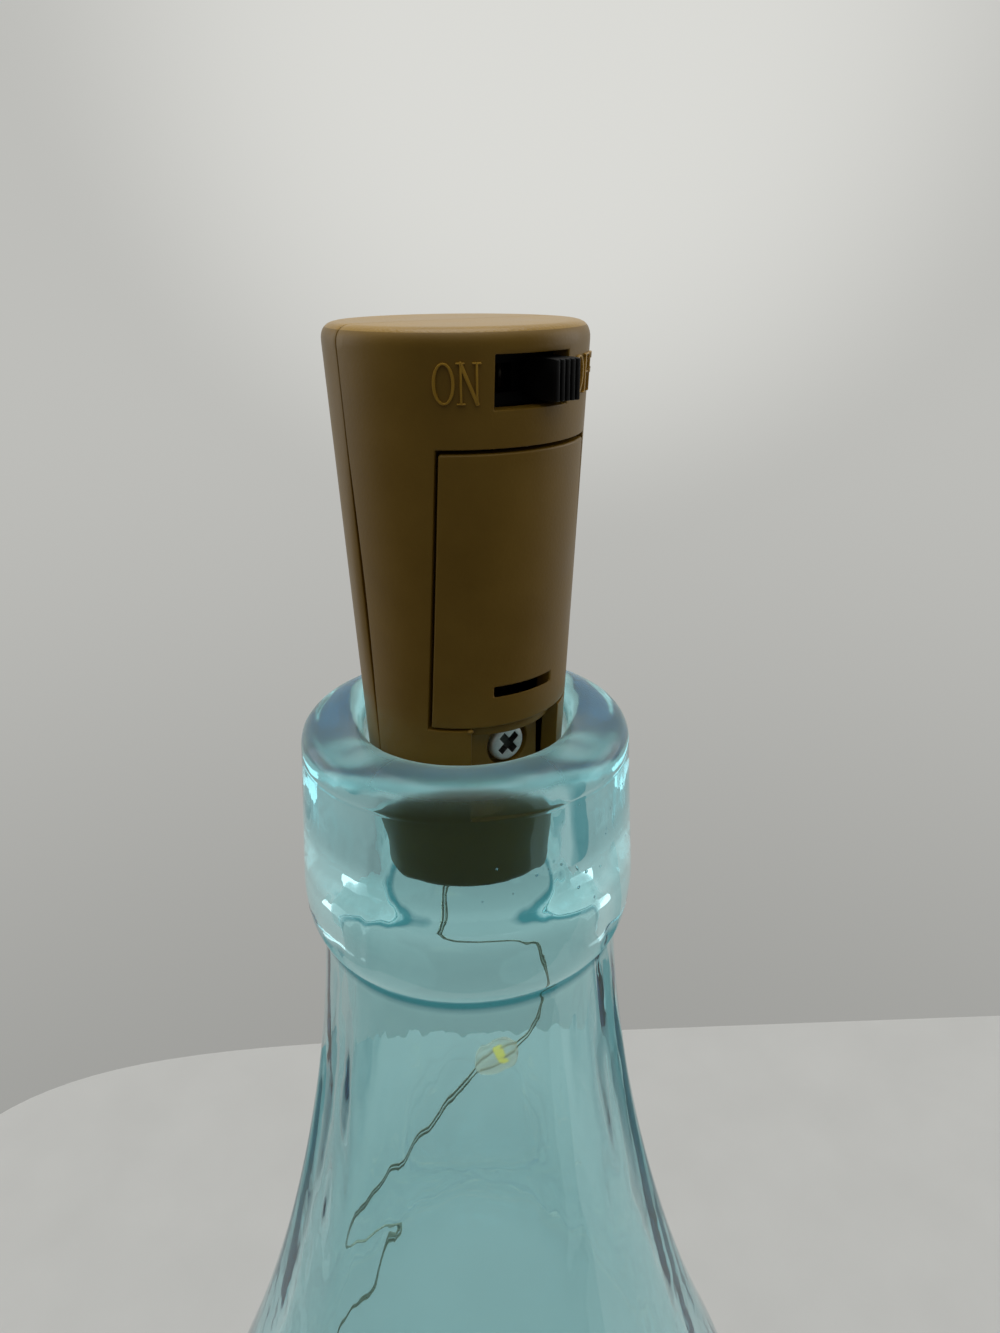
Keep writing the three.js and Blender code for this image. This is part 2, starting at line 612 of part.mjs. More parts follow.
class SpringLine extends THREE.Curve {
  getPoint(t) {
    const angle = 2 * Math.PI * SPRING_TURNS * t;
    const radius = SPRING_LOW_RADIUS + (SPRING_HIGH_RADIUS - SPRING_LOW_RADIUS) * t;
    const depth = springBottom + (springTop - springBottom) * t;
    return new THREE.Vector3(radius * Math.cos(angle), radius * Math.sin(angle) - CELL_FORWARD, -depth);
  }
}
const springLine = new SpringLine();
const springCoil = () =>
  closed(tube(springLine, SPRING_WIRE / 2, SPRING_SIDES, SPRING_TURN_STEPS * SPRING_TURNS));

// Wires inside the case, as points under the stopper's top

const negativeStart = shelfBottom + TAIL_RISE / 2;
const positiveWireRoute = [
  [-TAIL_WIDTH, PLATE_BACK - PLATE_THICK / 2, -TOP_SHELF_DEPTH + TAIL_RISE / 2 + GAP],
  [-TAIL_WIDTH, PLATE_BACK - PLATE_THICK / 2, -5.0],
  [-1.2, 2.2, -4.2],
  [-1.25, 0.6, -4.0],
  [-1.25, -0.8, -4.0],
  [-1.25, GAP - boardBack, -4.0],
];
const negativeWireRoute = [
  [NEGATIVE_TAIL_X, -CELL_FORWARD + TAIL_WIDTH / 2 + GAP, -negativeStart],
  [5.1, 0.4, -negativeStart - 0.2],
  [4.9, 2.6, -negativeStart - 0.3],
  [4.3, 4.6, -33.8],
  [3.7, 5.7, -31.2],
  [3.5, 5.95, -26],
  [3.5, 6.0, -12],
  [3.5, 5.8, -8],
  [3.6, 4.4, -6.0],
  [3.7, 2.0, -5.3],
  [3.7, -0.4, -5.3],
  [3.7, GAP - boardBack, -5.3],
];
const feedStart = STOPPER_LENGTH - END_THICK - GAP - SEAL_FLANGE_THICK - 2 * STRING_RADIUS;
const underTray = share => shelfBottom + share * (feedStart - shelfBottom);
const stringFeedRoute = [
  [-3.5, GAP - boardBack, -5.0],
  [-3.5, -0.4, -5.0],
  [-3.5, 2.2, -5.1],
  [-3.5, 4.6, -6.0],
  [-3.5, 5.8, -8.2],
  [-3.5, 6.0, -12],
  [-3.5, 5.9, -27],
  [-3.6, 5.5, -33],
  [-3.7, 4.6, -underTray(0.33)],
  [-2.4, 2.8, -underTray(0.65)],
  [-0.7, 0.8, -underTray(0.83)],
  [0, 0, GAP - feedStart + 2 * STRING_RADIUS],
  [0, 0, GAP - feedStart],
];

function stringSeal() {
  const inside = STOPPER_LENGTH - END_THICK - GAP;
  const outside = STOPPER_LENGTH + GAP;
  const stem = HOLE_RADIUS - GAP;
  const path = new THREE.Path();
  path.moveTo(BEAD_BORE, SEAL_FLANGE_THICK - inside);
  path.lineTo(SEAL_FLANGE_RADIUS, SEAL_FLANGE_THICK - inside);
  path.lineTo(SEAL_FLANGE_RADIUS, -inside);
  path.lineTo(stem, -inside);
  path.lineTo(stem, -outside);
  path.lineTo(SEAL_BLOB_RADIUS, -outside);
  const blobEnd = -outside - SEAL_BLOB_HEIGHT;
  path.quadraticCurveTo(SEAL_BLOB_RADIUS, blobEnd, BEAD_BORE, blobEnd);
  path.lineTo(BEAD_BORE, SEAL_FLANGE_THICK - inside);
  return closed(turned(path.getPoints(ROUND_STEPS), SMALL_ROD_SIDES));
}

// String of beads: down the neck, past the first bead, to a kink by the wall

const stringRoute = [
  [0, 0, stopperTop - feedStart],
  [0, 0, stopperTop - STOPPER_LENGTH - 2],
  [0.1, -0.05, 223.9],
  [-0.7, 0.4, 222.4],
  [-1.9, 1.2, 221.0],
  [-2.3, 1.4, 219.6],
  [-1.5, 0.9, 218.5],
  [0.5, -0.4, 217.9],
  [2.6, -1.7, 217.7],
  [4.5, -2.95, 216.8],
  [6.0, -3.9, 213.4],
  [6.6, -4.3, 208.0],
  [6.1, -4.0, 202.2],
  [4.5, -2.95, 199.4],
  [2.25, -1.475, 197.1],
  [0, 0, 194.8],
  [-3.4, 2.2, 188.4],
  [-8.0, 5.2, 180.2],
  [-12.2, 8.0, 172.4],
  [-13.8, 9.1, 167.2],
  [-12.6, 10.2, 164.4],
  [-9.0, 10.9, 163.6],
  [-6.2, 11.2, 162.4],
  [-6.2, 11.6, 159.6],
  [-7.8, 12.4, 155.4],
  [-10.3, 13.9, 148.1],
  [-14.2, 16.5, 141.0],
  [-19.2, 17.3, 131.0],
  [-23.9, 16.0, 122.0],
  [-28.0, 11.6, 115.0],
  [-29.8, 4.4, 111.0],
];

// Loose turns from the end of the route down to the bottle's floor.
const stringLength = FIRST_BEAD + (BEAD_COUNT - 1) * BEAD_PITCH;
const [kinkX, kinkY, kinkZ] = stringRoute.at(-1);
const kinkRadius = Math.hypot(kinkX, kinkY);
const kinkAngle = Math.atan2(kinkY, kinkX);

function coilPoint(turns) {
  const angle = kinkAngle + 2 * Math.PI * turns;
  const opened = Math.min(1, turns / COIL_OPENING_TURNS);
  const ease = opened * opened * (3 - 2 * opened);
  const swing = COIL_WAVE * ease * Math.sin(2 * Math.PI * COIL_WAVES * turns);
  const radius = kinkRadius + (COIL_RADIUS - kinkRadius) * ease + swing;
  const height = kinkZ - COIL_PITCH * turns - COIL_SINK * ease + COIL_TILT * ease * Math.sin(angle);
  return [radius * Math.cos(angle), radius * Math.sin(angle), height];
}

function stringCurve() {
  const points = [...stringRoute];
  let length = smooth(points).getLength();
  for (let step = 1; length < stringLength + 2 * BEAD_LENGTH; step++) {
    const next = coilPoint(step / COIL_LOOP_STEPS);
    length += new THREE.Vector3(...next).distanceTo(new THREE.Vector3(...points.at(-1)));
    points.push(next);
  }
  const curve = smooth(points);
  curve.arcLengthDivisions = 4000;
  return curve;
}

const wholeString = stringCurve();
const kinkLength = smooth(stringRoute).getLength();

// Least gap between turns of a tube, from points that are more than a few diameters apart along it.
function leastGap(curve, radius) {
  const count = 600;
  const points = curve.getSpacedPoints(count);
  const apart = Math.ceil((count * 12 * radius) / curve.getLength());
  let least = Infinity;
  for (let i = 0; i < count; i++) {
    for (let j = i + apart; j <= count; j++) least = Math.min(least, points[i].distanceTo(points[j]));
  }
  return least - 2 * radius;
}

function stringCoil() {
  const stretch = new Stretch(wholeString, LEAD_END + GAP, stringLength);
  const turns = (stringLength - kinkLength) / (2 * Math.PI * COIL_RADIUS);
  const steps = HOOK_STEPS + Math.round(COIL_LOOP_STEPS * turns);
  console.log('string_coil least gap to itself', leastGap(stretch, STRING_RADIUS).toFixed(2));
  return closed(tube(stretch, STRING_RADIUS, COIL_SIDES, steps));
}

// A clear drop round the string, with the string's way through it.
function ledBead(along) {
  const half = BEAD_LENGTH / 2;
  const pull = (4 * BEAD_RADIUS - BEAD_BORE) / 3; // puts the middle of the curve at the bead's radius
  const path = new THREE.Path();
  path.moveTo(BEAD_BORE, -half);
  path.bezierCurveTo(pull, -half, pull, half, BEAD_BORE, half);
  path.lineTo(BEAD_BORE, -half);
  const at = along / wholeString.getLength();
  const tangent = wholeString.getTangentAt(at);
  const geometry = closed(turned(path.getPoints(BEAD_STEPS), BEAD_SIDES));
  geometry.applyQuaternion(new THREE.Quaternion().setFromUnitVectors(new THREE.Vector3(0, 0, 1), tangent));
  return geometry.translate(...wholeString.getPointAt(at).toArray());
}

// Assembly

const finish = (color, roughness, metalness = 0) =>
  new THREE.MeshStandardMaterial({ color, roughness, metalness });
const glass = finish(0x9fcfd0, 0.08);
glass.transparent = true;
glass.opacity = 0.4;
const tanPlastic = finish(0x9a7444, 0.5);
const blackPlastic = finish(0x17181a, 0.5);
const steel = finish(0xc4c6c8, 0.3, 1);
const nickel = finish(0xb9b7ae, 0.28, 1);
const boardGreen = finish(0x2c5e3c, 0.55);
const amberBase = finish(0x6b4a2a, 0.6);
const redCover = finish(0xa02020, 0.45);
const blackCover = finish(0x1c1c1e, 0.45);
const wireMetal = finish(0xb9ae98, 0.3, 1);
const clearResin = finish(0xe3dfba, 0.12);
const glue = finish(0xd8d3c4, 0.4);

const bottleLight = new THREE.Group();
const stopper = new THREE.Group();
stopper.position.z = stopperTop;
const slider = new THREE.Group();
slider.position.x = switchTravel / 2;
stopper.add(slider);
bottleLight.add(stopper);

function add(group, name, geometry, material) {
  const mesh = new THREE.Mesh(geometry, material);
  mesh.name = name;
  group.add(mesh);
}

add(bottleLight, 'glass_bottle', glassBottle(), glass);

add(stopper, 'front_shell', frontShell(), tanPlastic);
add(stopper, 'rear_shell', rearShell(), tanPlastic);
add(stopper, 'battery_door', batteryDoor(), tanPlastic);
add(stopper, 'case_screw', caseScrew(), steel);

add(slider, 'switch_slider', switchSlider(), blackPlastic);
add(slider, 'switch_wiper', switchWiper(), nickel);
add(stopper, 'switch_can', switchCan(), blackPlastic);
add(stopper, 'switch_base', switchBase(), amberBase);
pinPlaces.forEach((x, i) => add(stopper, `switch_pin_${i + 1}`, switchPin(x), nickel));
add(stopper, 'circuit_board', circuitBoard(), boardGreen);
add(stopper, 'resistor', resistor(), blackPlastic);

for (let i = 0; i < CELL_COUNT; i++) {
  add(stopper, `battery_cell_${i + 1}`, batteryCell(firstCellTop + i * cellStep), nickel);
}
add(stopper, 'positive_plate', positivePlate(), nickel);
add(stopper, 'negative_plate', negativePlate(), nickel);
console.log('battery_spring least gap to itself', leastGap(springLine, SPRING_WIRE / 2).toFixed(2));
add(stopper, 'battery_spring', springCoil(), steel);

const wire = (route, radius, steps) => closed(tube(smooth(route), radius, WIRE_SIDES, steps));
add(stopper, 'positive_wire', wire(positiveWireRoute, LEAD_RADIUS, POSITIVE_STEPS), redCover);
add(stopper, 'negative_wire', wire(negativeWireRoute, LEAD_RADIUS, NEGATIVE_STEPS), blackCover);
add(stopper, 'string_feed', wire(stringFeedRoute, STRING_RADIUS, FEED_STEPS), wireMetal);
add(stopper, 'string_seal', stringSeal(), glue);

const lead = new Stretch(wholeString, 0, LEAD_END);
add(bottleLight, 'string_lead', closed(tube(lead, STRING_RADIUS, WIRE_SIDES, LEAD_STEPS)), wireMetal);
add(bottleLight, 'string_coil', stringCoil(), wireMetal);
for (let i = 0; i < BEAD_COUNT; i++) {
  const name = `led_bead_${String(i + 1).padStart(2, '0')}`;
  add(bottleLight, name, ledBead(FIRST_BEAD + i * BEAD_PITCH), clearResin);
}

export default bottleLight;
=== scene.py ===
"""Bottle light: an aqua glass bottle, a cork-shaped battery stopper and a string of LED beads inside."""

import math

import bpy
from mathutils import Matrix, Vector, noise


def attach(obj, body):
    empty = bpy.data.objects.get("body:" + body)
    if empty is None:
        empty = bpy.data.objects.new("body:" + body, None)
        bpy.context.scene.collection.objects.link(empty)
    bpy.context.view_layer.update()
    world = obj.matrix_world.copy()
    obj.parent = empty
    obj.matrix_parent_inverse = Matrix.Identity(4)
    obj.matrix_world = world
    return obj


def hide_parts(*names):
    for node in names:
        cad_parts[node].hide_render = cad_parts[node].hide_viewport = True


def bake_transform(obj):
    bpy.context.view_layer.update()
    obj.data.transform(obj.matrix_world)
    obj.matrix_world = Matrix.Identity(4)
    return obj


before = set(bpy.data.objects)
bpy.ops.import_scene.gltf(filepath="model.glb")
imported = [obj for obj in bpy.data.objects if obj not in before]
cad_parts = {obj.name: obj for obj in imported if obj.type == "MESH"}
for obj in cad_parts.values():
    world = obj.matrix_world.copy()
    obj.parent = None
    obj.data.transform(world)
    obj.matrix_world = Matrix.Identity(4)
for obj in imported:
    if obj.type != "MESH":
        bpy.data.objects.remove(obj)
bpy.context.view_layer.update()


# Sizes in millimetres, with depths measured down from the stopper's top

MM = 0.001
FULL_TURN = 2 * math.pi
STOPPER_TOP = 275.2
STOPPER_LENGTH = 48.3
TOP_ROUND = 1.5
TOP_RADIUS = 11.05
SEAT_RADIUS = 9.3
SEAT_DEPTH = 37.53
TIP_RADIUS = 8.5
SWITCH_DEPTH = 3.9
SCREW_DEPTH = 35.95
SCREW_FACE_Y = -7.1
HEAD_BORE = 2.2
SHANK_BORE = 1.15
TIP_EDGE = 47.5
SHELL_WALL = 1.5
ROUND_WALL = 0.75
SHELL_EDGE = 0.11
SMALL_EDGE = 0.12
WINDOW_TOP = 1.9
WINDOW_FOOT = 5.9
WINDOW_HALF = 3.45
OPENING_TOP = 8.75
OPENING_FOOT = 32.9
OPENING_HALF = 7.45
DOOR_HALF = 7.27
DOOR_WIDENING = 0.35
DOOR_GAP = 0.19
SEAM_TOP = 8
SEAM_LENGTH = 28
SEAM_CLOSED = 0.06
SEAM_OPEN = 0.8
RECESS_FOOT = 40.5
RECESS_HALF = 4.76
SLOT_TOP = 28.9
SLOT_FOOT = 29.75
SLOT_HALF = 3.0
TRAY_RADIUS = 7.1
CELL_Y = -1.7
CELL_TOPS = (9.2, 14.9, 20.6)
LIP = 240.0
BORE = 9.665
BODY = 41
INSIDE = 38
BASE_INSIDE = 8.5
BODY_TOP = 94
SHOULDER = 141
NECK_WALL = 2.6
CREASE = 217.25
COLLAR_EDGE = 237.0


# Camera, at the photograph's place

AWAY = Vector((0.5476, 0.8368, 0.0))
ACROSS = Vector((0.8368, -0.5476, 0.0))
UPWARD = Vector((0.0, 0.0, 1.0))


def from_columns(*columns):
    """A placing matrix from three directions and a place."""
    return Matrix([[c[i] for c in columns] for i in range(3)] + [[0, 0, 0, 1]])


def set_camera():
    """Stands the camera before the stopper, as it was fitted to the photograph's ellipses."""
    pitch = 0.401
    yaw = 0.0411
    roll = -0.0075
    level = ACROSS * math.sin(yaw) + AWAY * math.cos(yaw)
    ahead = level * math.cos(pitch) - UPWARD * math.sin(pitch)
    right = ACROSS * math.cos(yaw) - AWAY * math.sin(yaw)
    above = right.cross(ahead)
    tilted_right = right * math.cos(roll) + above * math.sin(roll)
    tilted_up = above * math.cos(roll) - right * math.sin(roll)
    distance = 82.6
    rise = 4.146
    focal_pixels = 950.19
    picture_height = 1333
    place = (AWAY * -distance + UPWARD * (STOPPER_TOP + rise)) * MM
    data = bpy.data.cameras.new("camera")
    data.lens = focal_pixels * data.sensor_width / picture_height
    data.clip_start = 0.005
    camera = bpy.data.objects.new("camera", data)
    bpy.context.scene.collection.objects.link(camera)
    camera.matrix_world = from_columns(tilted_right, tilted_up, -ahead, place)
    bpy.context.scene.camera = camera


set_camera()


# Hand tools

def put_down():
    """Leaves edit mode, with nothing selected."""
    if bpy.context.object and bpy.context.object.mode != "OBJECT":
        bpy.ops.object.mode_set(mode="OBJECT")
    bpy.ops.object.select_all(action="DESELECT")


def pick_up(piece):
    """Selects one piece alone, as the active one."""
    put_down()
    piece.select_set(True)
    bpy.context.view_layer.objects.active = piece


def open_up(piece):
    """Goes into edit mode on one piece, with all of it selected."""
    pick_up(piece)
    bpy.ops.object.mode_set(mode="EDIT")
    bpy.ops.mesh.select_all(action="SELECT")


def settle(piece):
    """Moves a piece's place, turn and scale into its mesh."""
    pick_up(piece)
    bpy.ops.object.transform_apply(location=True, rotation=True, scale=True)
    return piece


def turned(name, outline, sides, angle=FULL_TURN, start=0.0, centre=(0, 0)):
    """Turns an outline of (radius, height) points, in millimetres, about an upright axis."""
    put_down()
    bpy.ops.mesh.primitive_plane_add(size=MM)
    piece = bpy.context.object
    piece.name = name
    open_up(piece)
    bpy.ops.mesh.merge(type="CENTER")
    radius, height = outline[0]
    bpy.ops.transform.translate(value=(radius * MM, 0, height * MM))
    for (r0, z0), (r1, z1) in zip(outline, outline[1:]):
        step = ((r1 - r0) * MM, 0, (z1 - z0) * MM)
        bpy.ops.mesh.extrude_vertices_move(TRANSFORM_OT_translate={"value": step})
    bpy.ops.mesh.select_all(action="SELECT")
    bpy.ops.mesh.spin(steps=sides, angle=angle, center=(0, 0, 0), axis=(0, 0, 1))
    bpy.ops.mesh.select_all(action="SELECT")
    bpy.ops.mesh.remove_doubles(threshold=2e-6)
    if angle < FULL_TURN:
        bpy.ops.mesh.fill_holes(sides=0)
    bpy.ops.mesh.select_all(action="SELECT")
    bpy.ops.mesh.normals_make_consistent(inside=False)
    bpy.ops.object.mode_set(mode="OBJECT")
    piece.rotation_euler = (0, 0, start)
    piece.location = (centre[0] * MM, centre[1] * MM, 0)
    return settle(piece)


def block(name, x, y, z):
    """A box between pairs of limits in millimetres."""
    put_down()
    middle = [(a + b) / 2 * MM for a, b in (x, y, z)]
    size = [abs(b - a) * MM for a, b in (x, y, z)]
    bpy.ops.mesh.primitive_cube_add(size=1, location=middle, scale=size)
    piece = bpy.context.object
    piece.name = name
    return settle(piece)


def rod(name, radius, start, end, sides):
    """A round bar between two points in millimetres."""
    put_down()
    a, b = Vector(start), Vector(end)
    bpy.ops.mesh.primitive_cylinder_add(
        vertices=sides, radius=radius * MM, depth=(b - a).length * MM, location=(a + b) / 2 * MM,
        rotation=(b - a).to_track_quat("Z", "Y").to_euler())
    piece = bpy.context.object
    piece.name = name
    return settle(piece)


def press(piece, kind, **settings):
    """Adds a modifier, sets it and applies it."""
    pick_up(piece)
    modifier = piece.modifiers.new(kind.lower(), kind)
    for key, value in settings.items():
        setattr(modifier, key, value)
    bpy.ops.object.modifier_apply(modifier=modifier.name)
    return piece


def carve(piece, tool, operation="DIFFERENCE"):
    """Cuts a tool out of a piece, or adds it, and takes the tool away."""
    press(piece, "BOOLEAN", operation=operation, object=tool, solver="EXACT")
    bpy.data.objects.remove(tool, do_unlink=True)
    return piece


def soften(piece, width, segments=2):
    """Rounds a piece's sharp edges."""
    return press(piece, "BEVEL", width=width * MM, segments=segments, limit_method="ANGLE",
                 angle_limit=math.radians(40), use_clamp_overlap=False)


def smooth(piece, angle):
    """Smooth shading, with edges sharper than an angle left crisp."""
    pick_up(piece)
    bpy.ops.object.shade_smooth_by_angle(angle=math.radians(angle))
    return piece


def gather(name, parts):
    """Joins parts into one piece."""
    pick_up(parts[0])
    for part in parts[1:]:
        part.select_set(True)
    bpy.ops.object.join()
    parts[0].name = name
    return parts[0]


def dress(piece, *materials):
    """Gives a piece its materials, in place of any that it has."""
    piece.data.materials.clear()
    for material in materials:
        piece.data.materials.append(material)
    return piece


def drawn_wire(name, lines, radius, resolution):
    """A round wire along each line of points in millimetres, as one mesh."""
    data = bpy.data.curves.new(name, "CURVE")
    data.dimensions = "3D"
    data.bevel_depth = radius * MM
    data.bevel_resolution = resolution
    data.use_fill_caps = True
    for line in lines:
        spline = data.splines.new("POLY")
        spline.points.add(len(line) - 1)
        for point, spot in zip(spline.points, line):
            point.co = (*(spot * MM), 1)
    wire = bpy.data.objects.new(name, data)
    bpy.context.scene.collection.objects.link(wire)
    pick_up(wire)
    bpy.ops.object.convert(target="MESH")
    bpy.ops.object.shade_smooth()
    return bpy.context.object


def within(share):
    """A share held between none and all."""
    return min(1.0, max(0.0, share))


def bend(a, b, c, d, steps):
    """Points of a curve from a to d that is pulled towards b and c, without the first."""
    points = []
    for i in range(1, steps + 1):
        t = i / steps
        s = 1 - t
        points.append(tuple(
            s ** 3 * a[k] + 3 * s * s * t * b[k] + 3 * s * t * t * c[k] + t ** 3 * d[k] for k in (0, 1)))
    return points


def corner(a, b, c, steps):
    """Points of a rounded corner from a to c round b, without the first."""
    pull = [tuple(p[k] + (b[k] - p[k]) * 2 / 3 for k in (0, 1)) for p in (a, c)]
    return bend(a, pull[0], pull[1], c, steps)


def from_top(outline, depth=0.0):
    """Heights for an outline that is given as radius and depth."""
    return [(r, STOPPER_TOP - depth - d) for r, d in outline]


def case_radius(depth):
    """Radius of the stopper's case, which tapers faster under the bottle's lip."""
    if depth < SEAT_DEPTH:
        return TOP_RADIUS - (TOP_RADIUS - SEAT_RADIUS) * depth / SEAT_DEPTH
    share = (depth - SEAT_DEPTH) / (STOPPER_LENGTH - SEAT_DEPTH)
    return SEAT_RADIUS - (SEAT_RADIUS - TIP_RADIUS) * share


# Finishes

NOISE_LOW = 0.3
NOISE_HIGH = 0.7


def finish(name):
    """A new material, its node tree and shader, a maker of nodes and the piece's own coordinates."""
    material = bpy.data.materials.new(name)
    material.use_nodes = True
    tree = material.node_tree
    shader = tree.nodes["Principled BSDF"]

    def node(kind, links=None, **settings):
        made = tree.nodes.new(kind)
        for key, value in settings.items():
            setattr(made, key, value)
        for key, source in (links or {}).items():
            tree.links.new(source, made.inputs[key])
        return made

    return material, tree, shader, node, node("ShaderNodeTexCoord").outputs["Object"]


def preset(made, values):
    """Sets inputs of a node by their names."""
    for name, value in values.items():
        made.inputs[name].default_value = value


def grain(node, coordinates, scale, detail=3.0, roughness=0.5, stretch=(1, 1, 1)):
    """Noise on the piece's own coordinates, with scale in turns for each metre."""
    mapping = node("ShaderNodeMapping", {"Vector": coordinates})
    preset(mapping, {"Scale": stretch})
    texture = node("ShaderNodeTexNoise", {"Vector": mapping.outputs["Vector"]})
    preset(texture, {"Scale": scale, "Detail": detail, "Roughness": roughness})
    return texture.outputs["Fac"]


def spread(node, source, low, high, start=NOISE_LOW, end=NOISE_HIGH):
    """A value between start and end brought to a range of plain numbers."""
    made = node("ShaderNodeMapRange", {"Value": source})
    preset(made, {"From Min": start, "From Max": end, "To Min": low, "To Max": high})
    return made.outputs["Result"]


def tints(node, source, low, high, start=NOISE_LOW, end=NOISE_HIGH):
    """A value between start and end turned into colours between two."""
    made = node("ShaderNodeValToRGB", {"Fac": source})
    for element, place, colour in zip(made.color_ramp.elements, (start, end), (low, high)):
        element.position = place
        element.color = (*colour, 1)
    return made.outputs["Color"]


def bump(tree, node, shader, source, height):
    """Relief of a height in metres."""
    made = node("ShaderNodeBump", {"Height": source})
    preset(made, {"Distance": height, "Strength": 1.0})
    tree.links.new(made.outputs["Normal"], shader.inputs["Normal"])


def mottled(name, dark, bright, rough, relief, *noise_settings):
    """A material whose colour, roughness and relief follow one noise, and its shader."""
    material, tree, shader, node, place = finish(name)
    cloud = grain(node, place, *noise_settings)
    tree.links.new(tints(node, cloud, dark, bright), shader.inputs["Base Color"])
    tree.links.new(spread(node, cloud, *rough), shader.inputs["Roughness"])
    if relief:
        bump(tree, node, shader, cloud, relief)
    return material, shader


def case_plastic(name, pale=1.0, grain_height=0.000012, rough=(0.36, 0.46), shine=0.34):
    """Satin tan plastic with a faint mould grain."""
    material, tree, shader, node, place = finish(name)
    cloud = grain(node, place, 160, 4)
    tans = ((0.203, 0.113, 0.011), (0.243, 0.138, 0.016))
    # Pale lightens the tan; the top and the lettering use it as painted light.
    colours = [[min(1, c * pale) for c in tan] for tan in tans]
    tree.links.new(tints(node, cloud, *colours), shader.inputs["Base Color"])
    tree.links.new(spread(node, cloud, *rough), shader.inputs["Roughness"])
    bump(tree, node, shader, grain(node, place, 3800, 2), grain_height)
    preset(shader, {"Specular IOR Level": shine})
    return material


def black_plastic():
    """Black plastic with a finer mould grain."""
    material, tree, shader, node, place = finish("black_plastic")
    cloud = grain(node, place, 500, 3)
    tree.links.new(tints(node, cloud, (0.003, 0.003, 0.0035), (0.006, 0.006, 0.0065)),
                   shader.inputs["Base Color"])
    tree.links.new(spread(node, cloud, 0.42, 0.55), shader.inputs["Roughness"])
    bump(tree, node, shader, grain(node, place, 4200, 2), 0.000008)
    preset(shader, {"Specular IOR Level": 0.22})
    return material


def metal(name, dark, bright, rough):
    """Plated metal with fine drawn lines."""
    around = (rough - 0.06, rough + 0.08)
    material, shader = mottled(name, dark, bright, around, 0.000006, 900, 4, 0.6, (1, 1, 12))
    preset(shader, {"Metallic": 1.0})
    return material


def board(name, dark, bright):
    """Printed board or moulded base with a fine weave under its face."""
    return mottled(name, dark, bright, (0.35, 0.55), 0.00001, 1800, 3, 0.6, (1, 1, 0.3))[0]


def cover(name, dark, bright):
    """Soft glossy wire cover."""
    return mottled(name, dark, bright, (0.28, 0.42), 0.00002, 700, 3)[0]


def aqua_glass():
    """Thick aqua glass, wavy on its inner face, dull on its lip, and with painted shade: a dark teal
    band in its colour at the crease.
    """
    material, tree, shader, node, place = finish("aqua_glass")
    streaks = grain(node, place, 260, 2, 0.5, (1, 1, 0.3))
    wavy = node("ShaderNodeAttribute", attribute_name="waviness").outputs["Fac"]
    waves = node("ShaderNodeMath", {0: streaks, 1: wavy}, operation="MULTIPLY")
    bump(tree, node, shader, waves.outputs["Value"], 0.00012)
    dull = node("ShaderNodeAttribute", attribute_name="dullness").outputs["Fac"]
    tree.links.new(spread(node, dull, 0.0, 0.3, 0, 1), shader.inputs["Roughness"])
    tree.links.new(spread(node, dull, 0.0, 0.95, 0, 1), shader.inputs["Sheen Weight"])
    preset(shader, {"Sheen Roughness": 0.6, "Sheen Tint": (0.72, 1.0, 0.92, 1)})
    # Painted shade: a dark teal band painted into the glass's colour at the crease under the collar.
    deep = node("ShaderNodeAttribute", attribute_name="painted_crease_shade").outputs["Fac"]
    tree.links.new(tints(node, deep, (0.76, 0.97, 0.985), (0.03, 0.26, 0.32), 0, 1),
                   shader.inputs["Base Color"])
    preset(shader, {"IOR": 1.5, "Transmission Weight": 1.0})
    tint = node("ShaderNodeVolumeAbsorption")
    preset(tint, {"Color": (0.06, 0.81, 0.91, 1), "Density": 23.0})
    tree.links.new(tint.outputs["Volume"], tree.nodes["Material Output"].inputs["Volume"])
    return material


def resin_with_painted_glow():
    """Cast resin that lets most light through, with a faint painted glow."""
    material, tree, shader, node, place = finish("resin_with_painted_glow")
    cloud = grain(node, place, 600, 2)
    bump(tree, node, shader, cloud, 0.00005)
    tree.links.new(spread(node, cloud, 0.03, 0.12), shader.inputs["Roughness"])
    preset(shader, {"Base Color": (0.97, 0.95, 0.88, 1), "IOR": 1.3, "Transmission Weight": 0.7})
    # Painted glow: a weak emission, though the bead is not lit.
    preset(shader, {"Emission Color": (1.0, 0.93, 0.80, 1), "Emission Strength": 0.08})
    return material


def phosphor():
    """The chip's yellow coat, with a painted glow that makes it show bright through the resin."""
    material, shader = mottled(
        "phosphor", (0.90, 0.76, 0.02), (0.96, 0.86, 0.06), (0.5, 0.7), 0, 2500, 3)
    # Painted glow: the chip shines though it is not lit.
    preset(shader, {"Emission Color": (1.0, 0.82, 0.02, 1), "Emission Strength": 0.4})
    return material


def melt_glue():
    """Milky glue with a lumpy skin."""
    return mottled(
        "melt_glue", (0.50, 0.47, 0.38), (0.62, 0.60, 0.50), (0.25, 0.4), 0.0001, 500, 3)[0]


TAN = case_plastic("case_plastic")
# The top's colour is made paler as painted light, over its real grain.
TAN_TOP = case_plastic("case_top", 1.7, 0.00005, (0.30, 0.36), 0.5)
# Painted highlight: the raised letters' colour is made twice as light.
TAN_LETTER_HIGHLIGHT = case_plastic("case_lettering", 2.0, 0.00001, (0.30, 0.38), 0.4)
BLACK = black_plastic()
STEEL = metal("plated_steel", (0.82, 0.82, 0.81), (0.95, 0.95, 0.94), 0.55)
